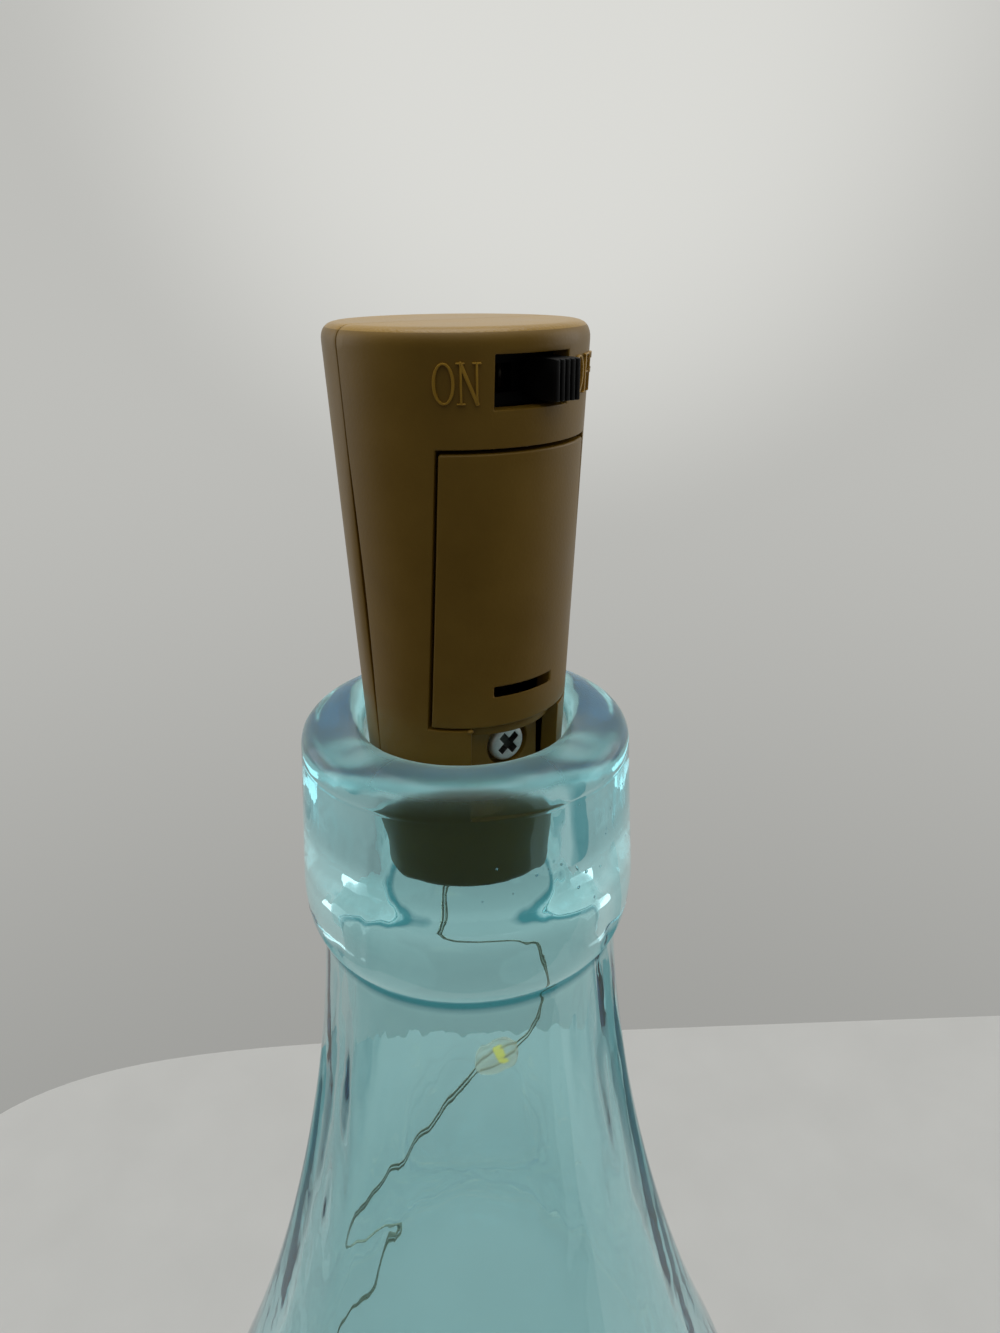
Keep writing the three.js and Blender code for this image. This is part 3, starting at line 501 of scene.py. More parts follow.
# Painted shade for the inside of the screw's cross.
RECESS_PAINTED_SHADE = metal("screw_recess_painted_shade", (0.12, 0.12, 0.11), (0.24, 0.24, 0.22), 0.45)
NICKEL = metal("nickel", (0.50, 0.48, 0.43), (0.64, 0.61, 0.55), 0.3)
WIRE = metal("lacquered_wire", (0.58, 0.51, 0.38), (0.82, 0.77, 0.64), 0.28)
GREEN = board("green_board", (0.012, 0.065, 0.022), (0.02, 0.09, 0.03))
BROWN = board("brown_board", (0.07, 0.035, 0.015), (0.11, 0.055, 0.022))
RED_COVER = cover("red_cover", (0.30, 0.010, 0.010), (0.40, 0.018, 0.014))
BLACK_COVER = cover("black_cover", (0.008, 0.008, 0.009), (0.014, 0.014, 0.015))
GLASS = aqua_glass()
RESIN = resin_with_painted_glow()
PHOSPHOR = phosphor()
GLUE = melt_glue()


# String of lights

STRING_ROUTE = [
    (0, 0, 230.3), (0, 0, 224.9), (0.1, -0.05, 223.9), (-0.7, 0.4, 222.4), (-1.9, 1.2, 221.0),
    (-2.3, 1.4, 219.6), (-1.5, 0.9, 218.5), (0.5, -0.4, 217.9), (2.6, -1.7, 217.7), (4.5, -2.95, 216.8),
    (6.0, -3.9, 213.4), (6.6, -4.3, 208.0), (6.1, -4.0, 202.2), (4.5, -2.95, 199.4),
    (2.25, -1.475, 197.1), (0, 0, 194.8), (-3.4, 2.2, 188.4), (-8.0, 5.2, 180.2), (-12.2, 8.0, 172.4),
    (-13.8, 9.1, 167.2), (-12.6, 10.2, 164.4), (-9.0, 10.9, 163.6), (-6.2, 11.2, 162.4),
    (-6.2, 11.6, 159.6), (-7.8, 12.4, 155.4), (-10.3, 13.9, 148.1), (-14.2, 16.5, 141.0),
    (-19.2, 17.3, 131.0), (-23.9, 16.0, 122.0), (-28.0, 11.6, 115.0), (-29.8, 4.4, 111.0),
]
STRING_LENGTH = 942.8
FIRST_BEAD = 42.8
BEAD_PITCH = 100.0
BEAD_COUNT = 10
STRING_STEPS = 900
SPACING = STRING_LENGTH / STRING_STEPS
COIL_STEPS = 24
COIL_POINTS = 130
COIL_RADIUS = 32
COIL_SWAY = 2.0
COIL_PITCH = 19
COIL_SAG = 20
COIL_TILT = 3
WIRE_RADIUS = 0.12
PAIR_HALF = 0.15
PARTED_HALF = 0.45
PARTED_REACH = 5.0
WANDER = 0.05


def coil_point(turns):
    """The loose turns that go on from the route's end down to the bottle's floor."""
    x, y, z = STRING_ROUTE[-1]
    reach = math.hypot(x, y)
    angle = math.atan2(y, x) + FULL_TURN * turns
    opened = min(1, turns / 0.7)
    ease = opened * opened * (3 - 2 * opened)
    sway = COIL_SWAY * ease * math.sin(FULL_TURN * 1.7 * turns)
    radius = reach + (COIL_RADIUS - reach) * ease + sway
    height = z - COIL_PITCH * turns - COIL_SAG * ease + COIL_TILT * ease * math.sin(angle)
    return (radius * math.cos(angle), radius * math.sin(angle), height)


def through(points, steps):
    """A smooth line through points, evenly eased between them."""
    ends = [points[0] * 2 - points[1], *points, points[-1] * 2 - points[-2]]
    line = [points[0]]
    for p0, p1, p2, p3 in zip(ends, ends[1:], ends[2:], ends[3:]):
        d0, d1, d2 = ((b - a).length ** 0.5 for a, b in ((p0, p1), (p1, p2), (p2, p3)))
        t1 = ((p1 - p0) / d0 - (p2 - p0) / (d0 + d1) + (p2 - p1) / d1) * d1
        t2 = ((p2 - p1) / d1 - (p3 - p1) / (d1 + d2) + (p3 - p2) / d2) * d1
        for i in range(1, steps + 1):
            t = i / steps
            line.append(p1 + t1 * t + (p2 * 3 - p1 * 3 - t1 * 2 - t2) * t ** 2
                        + (p1 * 2 - p2 * 2 + t1 + t2) * t ** 3)
    return line


def even_points(line, spacing, length):
    """Points at even spacing along a line, up to a length."""
    points = [line[0]]
    travelled = 0.0
    due = spacing
    for a, b in zip(line, line[1:]):
        span = (b - a).length
        while travelled + span >= due and due <= length + 1e-6:
            points.append(a.lerp(b, (due - travelled) / span))
            due += spacing
        travelled += span
    return points


def string_line():
    """The whole string's middle line, as evenly spaced points."""
    points = [Vector(p) for p in STRING_ROUTE]
    points += [Vector(coil_point(step / COIL_STEPS)) for step in range(1, COIL_POINTS + 1)]
    return even_points(through(points, 24), SPACING, STRING_LENGTH)


LINE = string_line()


def bead_places():
    """The numbers of the line's points where the beads sit."""
    distances = [FIRST_BEAD + i * BEAD_PITCH for i in range(BEAD_COUNT)]
    return [min(STRING_STEPS, round(distance / SPACING)) for distance in distances]


def line_frames():
    """The direction along the string at each point, and a side of it that turns slowly."""
    frames = []
    side = ACROSS
    for i in range(len(LINE)):
        before = LINE[max(0, i - 1)]
        after = LINE[min(len(LINE) - 1, i + 1)]
        along = (after - before).normalized()
        side = (side - along * side.dot(along)).normalized()
        turn = 0.9 * math.sin(i * SPACING / 23.0)
        frames.append((along, Matrix.Rotation(turn, 3, along) @ side))
    return frames


FRAMES = line_frames()


def string_wires():
    """Two lacquered wires side by side that part round each bead."""
    places = bead_places()
    lines = []
    for hand in (-1, 1):
        line = []
        for i, point in enumerate(LINE):
            nearest = min(abs(i - place) * SPACING for place in places)
            parted = max(0.0, 1 - nearest / PARTED_REACH) ** 2
            wander = WANDER * noise.noise(Vector((i * 0.11, hand, 0.0)))
            line.append(point + FRAMES[i][1] * hand * (PAIR_HALF + PARTED_HALF * parted + wander))
        lines.append(line)
    return dress(drawn_wire("light_string", lines, WIRE_RADIUS, 1), WIRE)


def bead_drop(number, place):
    """A drop of clear resin over a yellow chip."""
    outline = [(0, -2.7), *bend((0, -2.7), (0.9, -2.7), (1.8, -1.7), (1.75, -0.1), 8),
               *bend((1.75, -0.1), (1.7, 1.4), (0.8, 2.7), (0, 2.7), 8)]
    drop = smooth(turned("drop", outline, 20), 80)
    chip = soften(block("chip", (-0.75, 0.75), (-0.55, 0.55), (-0.75, -0.3)), 0.1)
    press(chip, "SUBSURF", levels=1, render_levels=1)
    dress(drop, RESIN, PHOSPHOR)
    dress(chip, RESIN, PHOSPHOR)
    for face in chip.data.polygons:
        face.material_index = 1
    bead = gather(f"bead_{number:02d}", [drop, chip])
    along, side = FRAMES[place]
    bead.matrix_world = from_columns(side, along.cross(side), along, LINE[place] * MM)
    settle(bead)
    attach(bead, "stopper" if number == 1 else "bottle")
    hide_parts(f"led_bead_{number:02d}")
    return bead


beads = [bead_drop(i + 1, place) for i, place in enumerate(bead_places())]
light_string = string_wires()
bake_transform(light_string)
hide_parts("string_lead", "string_coil")


# Stopper case

CASE_LEVELS = [WINDOW_TOP, 3.9, WINDOW_FOOT, 7.2, OPENING_TOP, *(10.5 + 2 * i for i in range(11)), 31.8,
               OPENING_FOOT, 34.4, 36, SEAT_DEPTH, 39, RECESS_FOOT, 42.5, 44.5, 46.2, TIP_EDGE]


def case_rows():
    """The case's outside from the middle of its top to the string's hole, as radius and depth."""
    rows = [(0, 0), (3, 0), (6, 0), (8.2, 0), (TOP_RADIUS - TOP_ROUND, 0)]
    rows += corner(rows[-1], (TOP_RADIUS, 0), (case_radius(TOP_ROUND), TOP_ROUND), 8)
    rows += [(case_radius(depth), depth) for depth in CASE_LEVELS]
    rows += corner(rows[-1], (TIP_RADIUS, STOPPER_LENGTH), (TIP_RADIUS - 0.8, STOPPER_LENGTH), 4)
    return rows + [(4.5, STOPPER_LENGTH), (1.6, STOPPER_LENGTH)]


def seam_opening(depth):
    """How far the seam gapes: not at all at the top, most in the middle of the case."""
    return math.sin(math.pi * within((depth - SEAM_TOP) / SEAM_LENGTH)) ** 1.3


def seam_gap(depth):
    """The width of the seam at a depth."""
    return SEAM_CLOSED + SEAM_OPEN * seam_opening(depth)


def door_edge(depth):
    """Half the width of the battery opening, which is a little narrower at its top."""
    return DOOR_HALF + DOOR_WIDENING * within((depth - OPENING_TOP) / (OPENING_FOOT - OPENING_TOP))


def between(stops, counts):
    """Angles that run through stops, with a count of even steps in each interval."""
    angles = [stops[0]]
    for start, end, count in zip(stops, stops[1:], counts):
        angles += [start + (end - start) * (i + 1) / count for i in range(count)]
    return angles


def front_angles(radius, depth):
    """Angles of the front half, with lines at the edges of the opening, the recess and the window."""
    reach = case_radius(TOP_ROUND) if depth < TOP_ROUND else max(radius, case_radius(RECESS_FOOT))
    edge = math.pi / 2 - math.asin(min(1.0, seam_gap(depth) / 2 / max(radius, 0.1)))
    lines = [math.asin(x / reach) for x in (door_edge(depth), RECESS_HALF, WINDOW_HALF)]
    return between([-edge, *(-a for a in lines), *reversed(lines), edge], (8, 4, 2, 8, 2, 4, 8))


def rear_angles(radius, depth):
    """Angles of the rear half, with a line close to each seam."""
    edge = math.pi / 2 + math.asin(min(1.0, seam_gap(depth) / 2 / max(radius, 0.1)))
    inner = edge + 0.6 / max(radius, 3.0)
    return between([edge, inner, FULL_TURN - inner, FULL_TURN - edge], (1, 36, 1))


def door_angles(radius, depth):
    """Angles of the door, with lines at the ends of its slot."""
    edge = math.asin((door_edge(depth) - DOOR_GAP) / radius)
    slot = math.asin(SLOT_HALF / radius)
    return between([-edge, -slot, slot, edge], (6, 8, 6))


def curved_sheet(name, rows, angles, sunk_edges=0.0):
    """A grid bent round the stopper's axis, each row at its radius, depth and angles from the front."""
    put_down()
    columns = [angles(*row) for row in rows]
    wide, tall = len(columns[0]) - 1, len(rows) - 1
    bpy.ops.mesh.primitive_grid_add(x_subdivisions=wide, y_subdivisions=tall, size=1)
    sheet = bpy.context.object
    sheet.name = name
    for vertex in sheet.data.vertices:
        row = tall - round((vertex.co.y + 0.5) * tall)
        column = round((vertex.co.x + 0.5) * wide)
        angle = columns[row][column]
        radius, depth = rows[row]
        if column in (0, wide):
            radius -= sunk_edges * seam_opening(depth)
        spot = Vector((radius * math.sin(angle), -radius * math.cos(angle), STOPPER_TOP - depth))
        vertex.co = spot * MM
    return sheet


def cut_out(sheet, half, depth):
    """Takes out the faces of a sheet within half a width of its middle, between two depths."""
    pick_up(sheet)
    bpy.ops.object.mode_set(mode="EDIT")
    bpy.ops.mesh.select_mode(type="FACE")
    bpy.ops.mesh.select_all(action="DESELECT")
    bpy.ops.object.mode_set(mode="OBJECT")
    for face in sheet.data.polygons:
        across = face.center.x / MM
        down = STOPPER_TOP - face.center.z / MM
        face.select = abs(across) < half and depth[0] < down < depth[1]
    bpy.ops.object.mode_set(mode="EDIT")
    bpy.ops.mesh.delete(type="FACE")
    bpy.ops.mesh.select_mode(type="VERT")
    bpy.ops.object.mode_set(mode="OBJECT")


def thicken(sheet, wall, round_wall=None):
    """Gives a sheet its wall inwards, thinner at the small rounded edges of the case."""
    open_up(sheet)
    bpy.ops.mesh.remove_doubles(threshold=1e-6)
    bpy.ops.object.mode_set(mode="OBJECT")
    group = sheet.vertex_groups.new(name="wall")
    for vertex in sheet.data.vertices:
        depth = STOPPER_TOP - vertex.co.z / MM
        rounded = round_wall and (depth < TOP_ROUND - 0.001 or depth > TIP_EDGE + 0.01)
        group.add([vertex.index], round_wall / wall if rounded else 1.0, "REPLACE")
    press(sheet, "SOLIDIFY", thickness=wall * MM, offset=-1, use_even_offset=True, vertex_group="wall")
    sheet.vertex_groups.clear()
    return sheet


def polish(piece, angle=40):
    """Smooth shading that keeps large faces flat."""
    smooth(piece, angle)
    return press(piece, "WEIGHTED_NORMAL", keep_sharp=True)


def lap_strip(side):
    """Lip behind the seam, on the front half."""
    rows = [(case_radius(d) - 1.75, d) for d in (1.6, 8, 16, 24, 32, SEAT_DEPTH, 42, 46.5)]
    middle = side * math.pi / 2
    strip = curved_sheet("lap", rows, lambda r, d: between([middle - 0.14, middle + 0.14], (6,)))
    return soften(thicken(strip, 0.9), 0.1)


def cell_tray():
    """Half tube behind the cells, with a shelf above and below."""
    inner = TRAY_RADIUS - 1.0
    wall = [(inner, 7.0), (TRAY_RADIUS, 7.0), (TRAY_RADIUS, 33.4), (inner, 33.4), (inner, 7.0)]
    parts = [turned("tray", from_top(wall), 40, math.pi, math.pi, (0, CELL_Y))]
    for high, low in ((6.6, 7.4), (33.0, 33.8)):
        reach = case_radius(low) - 1.4
        half = [(0, high), (reach, high), (reach, low), (0, low)]
        disc = [(0, high), (TRAY_RADIUS, high), (TRAY_RADIUS, low), (0, low)]
        parts.append(turned("shelf", from_top(half), 40, math.pi))
        parts.append(turned("shelf", from_top(disc), 48, centre=(0, CELL_Y)))
    return [soften(part, SMALL_EDGE) for part in parts]


def screw_post():
    """Block behind the screw's recess, bored for its head and its shank."""
    post = block("post", (-4.7, 3.3), (-6.9, -0.5), (STOPPER_TOP - 42, STOPPER_TOP - 33.2))
    ledge = block("ledge", (-3.6, 3.6), (-7.9, -0.5), (STOPPER_TOP - 42, STOPPER_TOP - RECESS_FOOT))
    carve(post, ledge, "UNION")
    level = STOPPER_TOP - SCREW_DEPTH
    carve(post, rod("bore", HEAD_BORE, (0, -8.4, level), (0, -5.6, level), 40))
    carve(post, rod("bore", SHANK_BORE, (0, -8.4, level), (0, 1, level), 24))
    return soften(post, SMALL_EDGE)


def mould_nub():
    """Speck of flash where the opening meets the screw recess."""
    put_down()
    bpy.ops.mesh.primitive_uv_sphere_add(segments=12, ring_count=8, radius=0.24 * MM)
    nub = bpy.context.object
    angle = math.asin(-4.85 / case_radius(OPENING_FOOT))
    reach = case_radius(OPENING_FOOT) - 0.06
    nub.location = Vector((reach * math.sin(angle), -reach * math.cos(angle), STOPPER_TOP - 32.95)) * MM
    nub.scale = (1.3, 1.0, 0.8)
    return settle(nub)


def pale_top(shell):
    """Gives the case's top its grainy finish and its paler colour, which is painted light."""
    for face in shell.data.polygons:
        if face.normal.z > 0.6 and STOPPER_TOP - face.center.z / MM < 0.8:
            face.material_index = 1
    return shell


def front_shell():
    """Front half of the case, with its openings and what stands behind them."""
    shell = curved_sheet("front_case", case_rows(), front_angles)
    cut_out(shell, WINDOW_HALF, (WINDOW_TOP, WINDOW_FOOT))
    cut_out(shell, OPENING_HALF, (OPENING_TOP, OPENING_FOOT))
    cut_out(shell, RECESS_HALF, (OPENING_FOOT, RECESS_FOOT))
    soften(thicken(shell, SHELL_WALL, ROUND_WALL), SHELL_EDGE)
    inside = [lap_strip(-1), lap_strip(1), *cell_tray(), screw_post(), mould_nub()]
    return pale_top(dress(polish(gather("front_case", [shell, *inside])), TAN, TAN_TOP))


def rear_shell():
    """Rear half of the case, with the boss that takes the screw."""
    shell = curved_sheet("rear_case", case_rows(), rear_angles, 0.25)
    soften(thicken(shell, SHELL_WALL, ROUND_WALL), SHELL_EDGE)
    level = STOPPER_TOP - SCREW_DEPTH
    boss = rod("boss", 1.8, (0, -0.2, level), (0, 7.9, level), 40)
    carve(boss, rod("bore", SHANK_BORE, (0, -1, level), (0, 2.7, level), 24))
    return pale_top(dress(polish(gather("rear_case", [shell, soften(boss, SMALL_EDGE)])), TAN, TAN_TOP))


def battery_door():
    """Curved door with its pry slot, whose lower wall slopes, and the two hooks that it tips on."""
    levels = [9.1, 10, *(11.5 + 2 * i for i in range(9)), SLOT_TOP, SLOT_FOOT, 30.8, 31.8, 32.68]
    door = curved_sheet("battery_door_cover", [(case_radius(d), d) for d in levels], door_angles)
    cut_out(door, SLOT_HALF, (SLOT_TOP, SLOT_FOOT))
    thicken(door, SHELL_WALL)
    deep = case_radius(SLOT_FOOT) - 0.9
    for vertex in door.data.vertices:
        x, y, z = vertex.co / MM
        under_slot = STOPPER_TOP - z - SLOT_FOOT
        if abs(x) < SLOT_HALF + 0.05 and -0.2 < under_slot < 1.2 and math.hypot(x, y) < deep:
            vertex.co.z -= (1.5 - 0.7 * under_slot) * MM
    soften(door, 0.18, 3)
    hooks = []
    for side in (-1, 1):
        x = (side * 5.4 - 0.8, side * 5.4 + 0.8)
        for front, top in ((-6.32, 7.7), (-7.32, 9.4)):
            hooks.append(block("hook", x, (front, -5.62), (STOPPER_TOP - 11, STOPPER_TOP - top)))
    parts = [door, *(soften(hook, SMALL_EDGE) for hook in hooks)]
    return dress(polish(gather("battery_door_cover", parts)), TAN)


def facing_front(piece, y, depth):
    """Turns a piece made upright so that its top faces the front, on the stopper's middle."""
    piece.rotation_euler = (math.pi / 2, 0, 0)
    piece.location = Vector((0, y, STOPPER_TOP - depth)) * MM
    return settle(piece)


def case_screw():
    """Cross-head screw with a flat bright face and painted shade inside its cross, made upright and then
    laid in its recess.
    """
    outline = [(0, -1.2), (1.5, -1.2), (1.74, -1.0), (1.78, -0.5)]
    outline += bend((1.78, -0.5), (1.78, -0.16), (1.6, -0.04), (1.3, -0.02), 8)
    head = turned("screw", [*outline, (0, 0)], 48)
    for turn in (38, 128):
        arm = block("cross", (-1.15, 1.15), (-0.36, 0.36), (-0.85, 1))
        arm.rotation_euler = (0, 0, math.radians(turn))
        carve(head, settle(arm))
    soften(head, 0.05)
    thread = [(0.85, -1.1)]
    for i in range(14):
        low = -1.6 - i * 0.52
        thread += [(0.66, low + 0.1), (0.66, low - 0.1), (0.85, low - 0.26)]
    shank = turned("shank", [(0, -1.0), *thread, (0.6, -9.0), (0, -9.2)], 24)
    for piece in (head, shank):
        dress(piece, STEEL, RECESS_PAINTED_SHADE)
    # Painted shade: the faces inside the cross take the dark material.
    for face in head.data.polygons:
        x, y, z = face.center / MM
        if -0.95 < z < -0.06 and math.hypot(x, y) < 1.25:
            face.material_index = 1
    return polish(facing_front(gather("screw", [head, shank]), SCREW_FACE_Y, SCREW_DEPTH))


# Raised lettering beside the switch

def letter_bar(x, z, lean=0.0):
    """One straight stroke of a letter, centred on the letter's own place."""
    stroke = block("stroke", x, (-0.19, 0.17), z)
    stroke.rotation_euler = (0, lean, 0)
    return settle(stroke)


def letter_o():
    """An oval ring, wider at its sides."""
    put_down()
    bpy.ops.mesh.primitive_circle_add(
        vertices=48, radius=MM, fill_type="NOTHING", rotation=(math.pi / 2, 0, 0))
    ring = settle(bpy.context.object)
    open_up(ring)
    bpy.ops.transform.resize(value=(0.84, 1, 1.5))
    bpy.ops.mesh.extrude_region_move()
    bpy.ops.transform.resize(value=(0.70, 1, 0.89))
    bpy.ops.mesh.select_all(action="SELECT")
    bpy.ops.mesh.normals_make_consistent(inside=False)
    bpy.ops.object.mode_set(mode="OBJECT")
    press(ring, "SOLIDIFY", thickness=0.38 * MM, offset=0)
    return [ring]


def letter_n():
    """Two thin uprights, a thick slanting stroke and three serifs."""
    strokes = [letter_bar((-0.68, -0.50), (-1.5, 1.5)), letter_bar((0.50, 0.68), (-1.5, 1.5)),
               letter_bar((-0.14, 0.14), (-1.68, 1.68), -0.40)]
    for x, z in ((-0.62, 1.44), (-0.59, -1.44), (0.59, 1.44)):
        strokes.append(letter_bar((x - 0.34, x + 0.34), (z - 0.06, z + 0.06)))
    return strokes


def letter_f():
    """An upright, two arms and their serifs."""
    return [letter_bar((-0.48, -0.22), (-1.5, 1.5)), letter_bar((-0.66, 0.62), (1.36, 1.5)),
            letter_bar((-0.30, 0.36), (0.02, 0.16)), letter_bar((-0.68, -0.02), (-1.5, -1.38)),
            letter_bar((0.50, 0.62), (0.95, 1.5)), letter_bar((0.28, 0.36), (-0.16, 0.34))]


def raised_letter(strokes, angle):
    """Lays a letter on the case beside the switch, tilted with the case's taper."""
    letter = gather("letter", [soften(stroke, 0.06) for stroke in strokes])
    turn = math.radians(angle)
    radius = case_radius(SWITCH_DEPTH)
    taper = math.atan((TOP_RADIUS - SEAT_RADIUS) / SEAT_DEPTH)
    letter.rotation_euler = (taper, 0, turn)
    spot = Vector((radius * math.sin(turn), -radius * math.cos(turn), STOPPER_TOP - SWITCH_DEPTH))
    letter.location = spot * MM
    return settle(letter)


def switch_lettering():
    """ON at one side of the switch and OFF at the other, each letter at its angle from the front."""
    letters = [raised_letter(letter_o(), -38.6), raised_letter(letter_n(), -28.8),
               raised_letter(letter_o(), 27.0), raised_letter(letter_f(), 36.2),
               raised_letter(letter_f(), 44.2)]
    return dress(polish(gather("switch_lettering", letters)), TAN_LETTER_HIGHLIGHT)


# Switch, cells and what else the case holds

def switch_knob():
    """Ribbed knob, shown at OFF, with the stem and foot that hold it in the switch."""
    level = STOPPER_TOP - SWITCH_DEPTH
    middle = 1.95
    body = block("knob", (middle - 1.2, middle + 1.2), (-11.97, -8.2), (level - 1.55, level + 1.55))
    parts = [soften(body, 0.08)]
    for i in range(5):
        x = middle - 0.98 + 0.49 * i
        ridge = block("ridge", (x - 0.18, x + 0.18), (-12.22, -11.8), (level - 1.52, level + 1.52))
        parts.append(soften(ridge, 0.09, 3))
    stem = block("stem", (middle - 0.8, middle + 0.8), (-8.4, -5.8), (level - 0.8, level + 0.8))
    foot = block("foot", (middle - 1.6, middle + 1.6), (-7.2, -5.8), (level - 1.3, level + 1.3))
    parts += [soften(stem, 0.08), soften(foot, 0.1)]
    return dress(polish(gather("switch_knob", parts)), BLACK)


def button_cell(number, top):
    """Button cell with its can up, a sealing groove and the smaller cap under it."""
    outline = [(0, 0), (5.2, 0), *corner((5.2, 0), (5.8, 0), (5.8, 0.6), 5), (5.8, 2.5), (5.8, 4.7),
               *corner((5.8, 4.7), (5.8, 5.0), (5.3, 5.0), 4), (4.85, 4.98), (4.75, 4.85), (4.65, 4.98),
               *corner((4.6, 5.0), (4.6, 5.4), (4.2, 5.4), 4), (0, 5.4)]
    cell = turned(f"cell_{number}", from_top(outline, top), 64, centre=(0, CELL_Y))
    return dress(polish(cell, 50), NICKEL)


def contact_spring():
    """Conical spring under the lowest cell."""
    turns = 4
    steps = turns * 32
    line = []
    for i in range(steps + 1):
        t = i / steps
        angle = turns * FULL_TURN * t
        radius = 3.4 - 1.5 * t
        level = STOPPER_TOP - 31.85 + 5.3 * t
        line.append(Vector((radius * math.cos(angle), radius * math.sin(angle) + CELL_Y, level)))
    return dress(drawn_wire("spring", [line], 0.25, 3), STEEL)


def glue_plug():
    """Blob of glue that holds the string in the hole of the case's end."""
    tip = STOPPER_LENGTH
    outline = [(0.4, tip - 2.8), (2.3, tip - 2.8)]
    outline += corner((2.3, tip - 2.8), (2.6, tip - 2.8), (2.6, tip - 2.5), 4)
    outline += [(2.6, tip - 1.8), (1.3, tip - 1.8), (1.3, tip + 0.3), (1.85, tip + 0.3)]
    outline += corner((1.85, tip + 0.3), (2.0, tip + 0.9), (1.1, tip + 1.08), 6)
    outline += [(0.4, tip + 1.1), (0.4, tip - 2.8)]
    plug = turned("glue_plug", from_top(outline), 40)
    for vertex in plug.data.vertices:
        vertex.co.xy *= 1 + 0.05 * noise.noise(vertex.co * 900)
    return dress(polish(plug, 50), GLUE)


def fit(piece, body, slot, *nodes):
    """Hangs a finished piece on the body that carries it, in place of its plain solids."""
    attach(piece, body)
    if nodes:
        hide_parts(*nodes)


fit(front_shell(), "stopper", "case_plastic", "front_shell")
fit(rear_shell(), "stopper", "case_plastic", "rear_shell")
fit(battery_door(), "door", "case_plastic", "battery_door")
fit(case_screw(), "stopper", "steel", "case_screw")
fit(switch_lettering(), "stopper", "case_plastic")
fit(switch_knob(), "slider", "black_plastic", "switch_slider")
for number, top in enumerate(CELL_TOPS, 1):
    fit(button_cell(number, top), "stopper", "nickel", f"battery_cell_{number}")
fit(contact_spring(), "stopper", "steel", "battery_spring")
fit(glue_plug(), "stopper", "glue", "string_seal")

INSIDE_FINISHES = {
    "switch_can": BLACK, "switch_base": BROWN, "switch_wiper": NICKEL, "switch_pin_1": NICKEL,
    "switch_pin_2": NICKEL, "switch_pin_3": NICKEL, "circuit_board": GREEN, "resistor": BLACK,
    "positive_plate": NICKEL, "negative_plate": NICKEL, "positive_wire": RED_COVER,
    "negative_wire": BLACK_COVER, "string_feed": WIRE,
}
for node_name, material in INSIDE_FINISHES.items():
    dress(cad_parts[node_name], material)


# Bottle

def glass_outline():
    """The glass from the middle of its foot, up the outside, over the lip and down the inside."""
    collar = BORE + 6.1
    foot = collar + 0.85
    neck = BORE + 5.45
    crown = (BORE + collar) / 2
    hollow = neck - NECK_WALL
    points = [(0, 5.0), *bend((0, 5.0), (13, 5.0), (20.8, 0), (26, 0), 12), (29, 0), (32, 0)]
    points += corner((32, 0), (BODY, 0), (BODY, 9), 8)
    points += [(BODY, z) for z in range(12, BODY_TOP + 1, 3)]
    points += bend((BODY, BODY_TOP), (BODY, 112), (40.2, 123), (33, SHOULDER), 24)
    points += bend((33, SHOULDER), (23.4, 165), (neck + 1.4, 192.6), (neck, 215.8), 40)
    points += [(neck, 216.2), (neck, 216.6), (neck, 217.0)]
    points += corner((neck, 217.0), (neck - 0.15, 217.9), (neck + 0.6, 218.2), 8)
    points += corner((neck + 0.6, 218.2), (foot, 219.6), (foot, 223.5), 14)
    points += [(foot - 0.85 * i / 8, 223.5 + 13.3 * i / 8) for i in range(1, 9)]
    points += [(collar, 236.9), (collar - 0.07, 237.05), (collar - 0.02, 237.2)]
    points += corner((collar - 0.02, 237.2), (collar, LIP), (crown, LIP), 14)
    points += corner((crown, LIP), (BORE, LIP), (BORE, LIP - 2), 8)
    points += [(BORE, 237.5 - 0.5 * i) for i in range(20)]
    points += bend((BORE, 228), (BORE, 224), (hollow, 224.5), (hollow, 220.5), 16)
    points += [(hollow, 219.5), (hollow, 218.5), (hollow, 217.6)]
    points += bend((hollow, 217.6), (neck - 1.2, 192.6), (20.4, 165), (30, SHOULDER), 40)
    points += bend((30, SHOULDER), (37.2, 123), (INSIDE, 112), (INSIDE, BODY_TOP), 24)
    points += [(INSIDE, z) for z in range(BODY_TOP - 3, 14, -3)]
    points += corner((INSIDE, 16), (INSIDE, BASE_INSIDE), (32, BASE_INSIDE), 8)
    points += [(29, BASE_INSIDE), (26, BASE_INSIDE)]
    return points + bend((26, BASE_INSIDE), (20.8, BASE_INSIDE), (13, 12), (0, 12), 12)


def make_wavy(bottle):
    """Lets the glass wander a little, more on its inner face, in upright streaks and small ripples."""
    moves = []
    for vertex in bottle.data.vertices:
        x, y, z = vertex.co / MM
        outward = Vector((x, y, 0))
        if outward.length < 5:
            continue
        outward.normalize()
        inner = vertex.normal.dot(outward) < -0.3
        streak = noise.noise(outward * 3.1 + Vector((0, 0, z * 0.022)))
        dimple = noise.noise(outward * 8.0 + Vector((0, 0, z * 0.09)))
        ripple = noise.noise(outward * 13.0 + Vector((0, 0, z * 0.45)))
        depth = 0.06
        if inner:
            ripple *= 0.55 * within((COLLAR_EDGE - z) / 6) * max(0.25, within((z - 190) / 30))
            depth = 0.045 + 0.07 * within((226 - z) / 8)
        else:
            ripple = 0
        moves.append((vertex, outward * (streak + 0.5 * dimple + ripple) * depth * MM))
    for vertex, move in moves:
        vertex.co += move


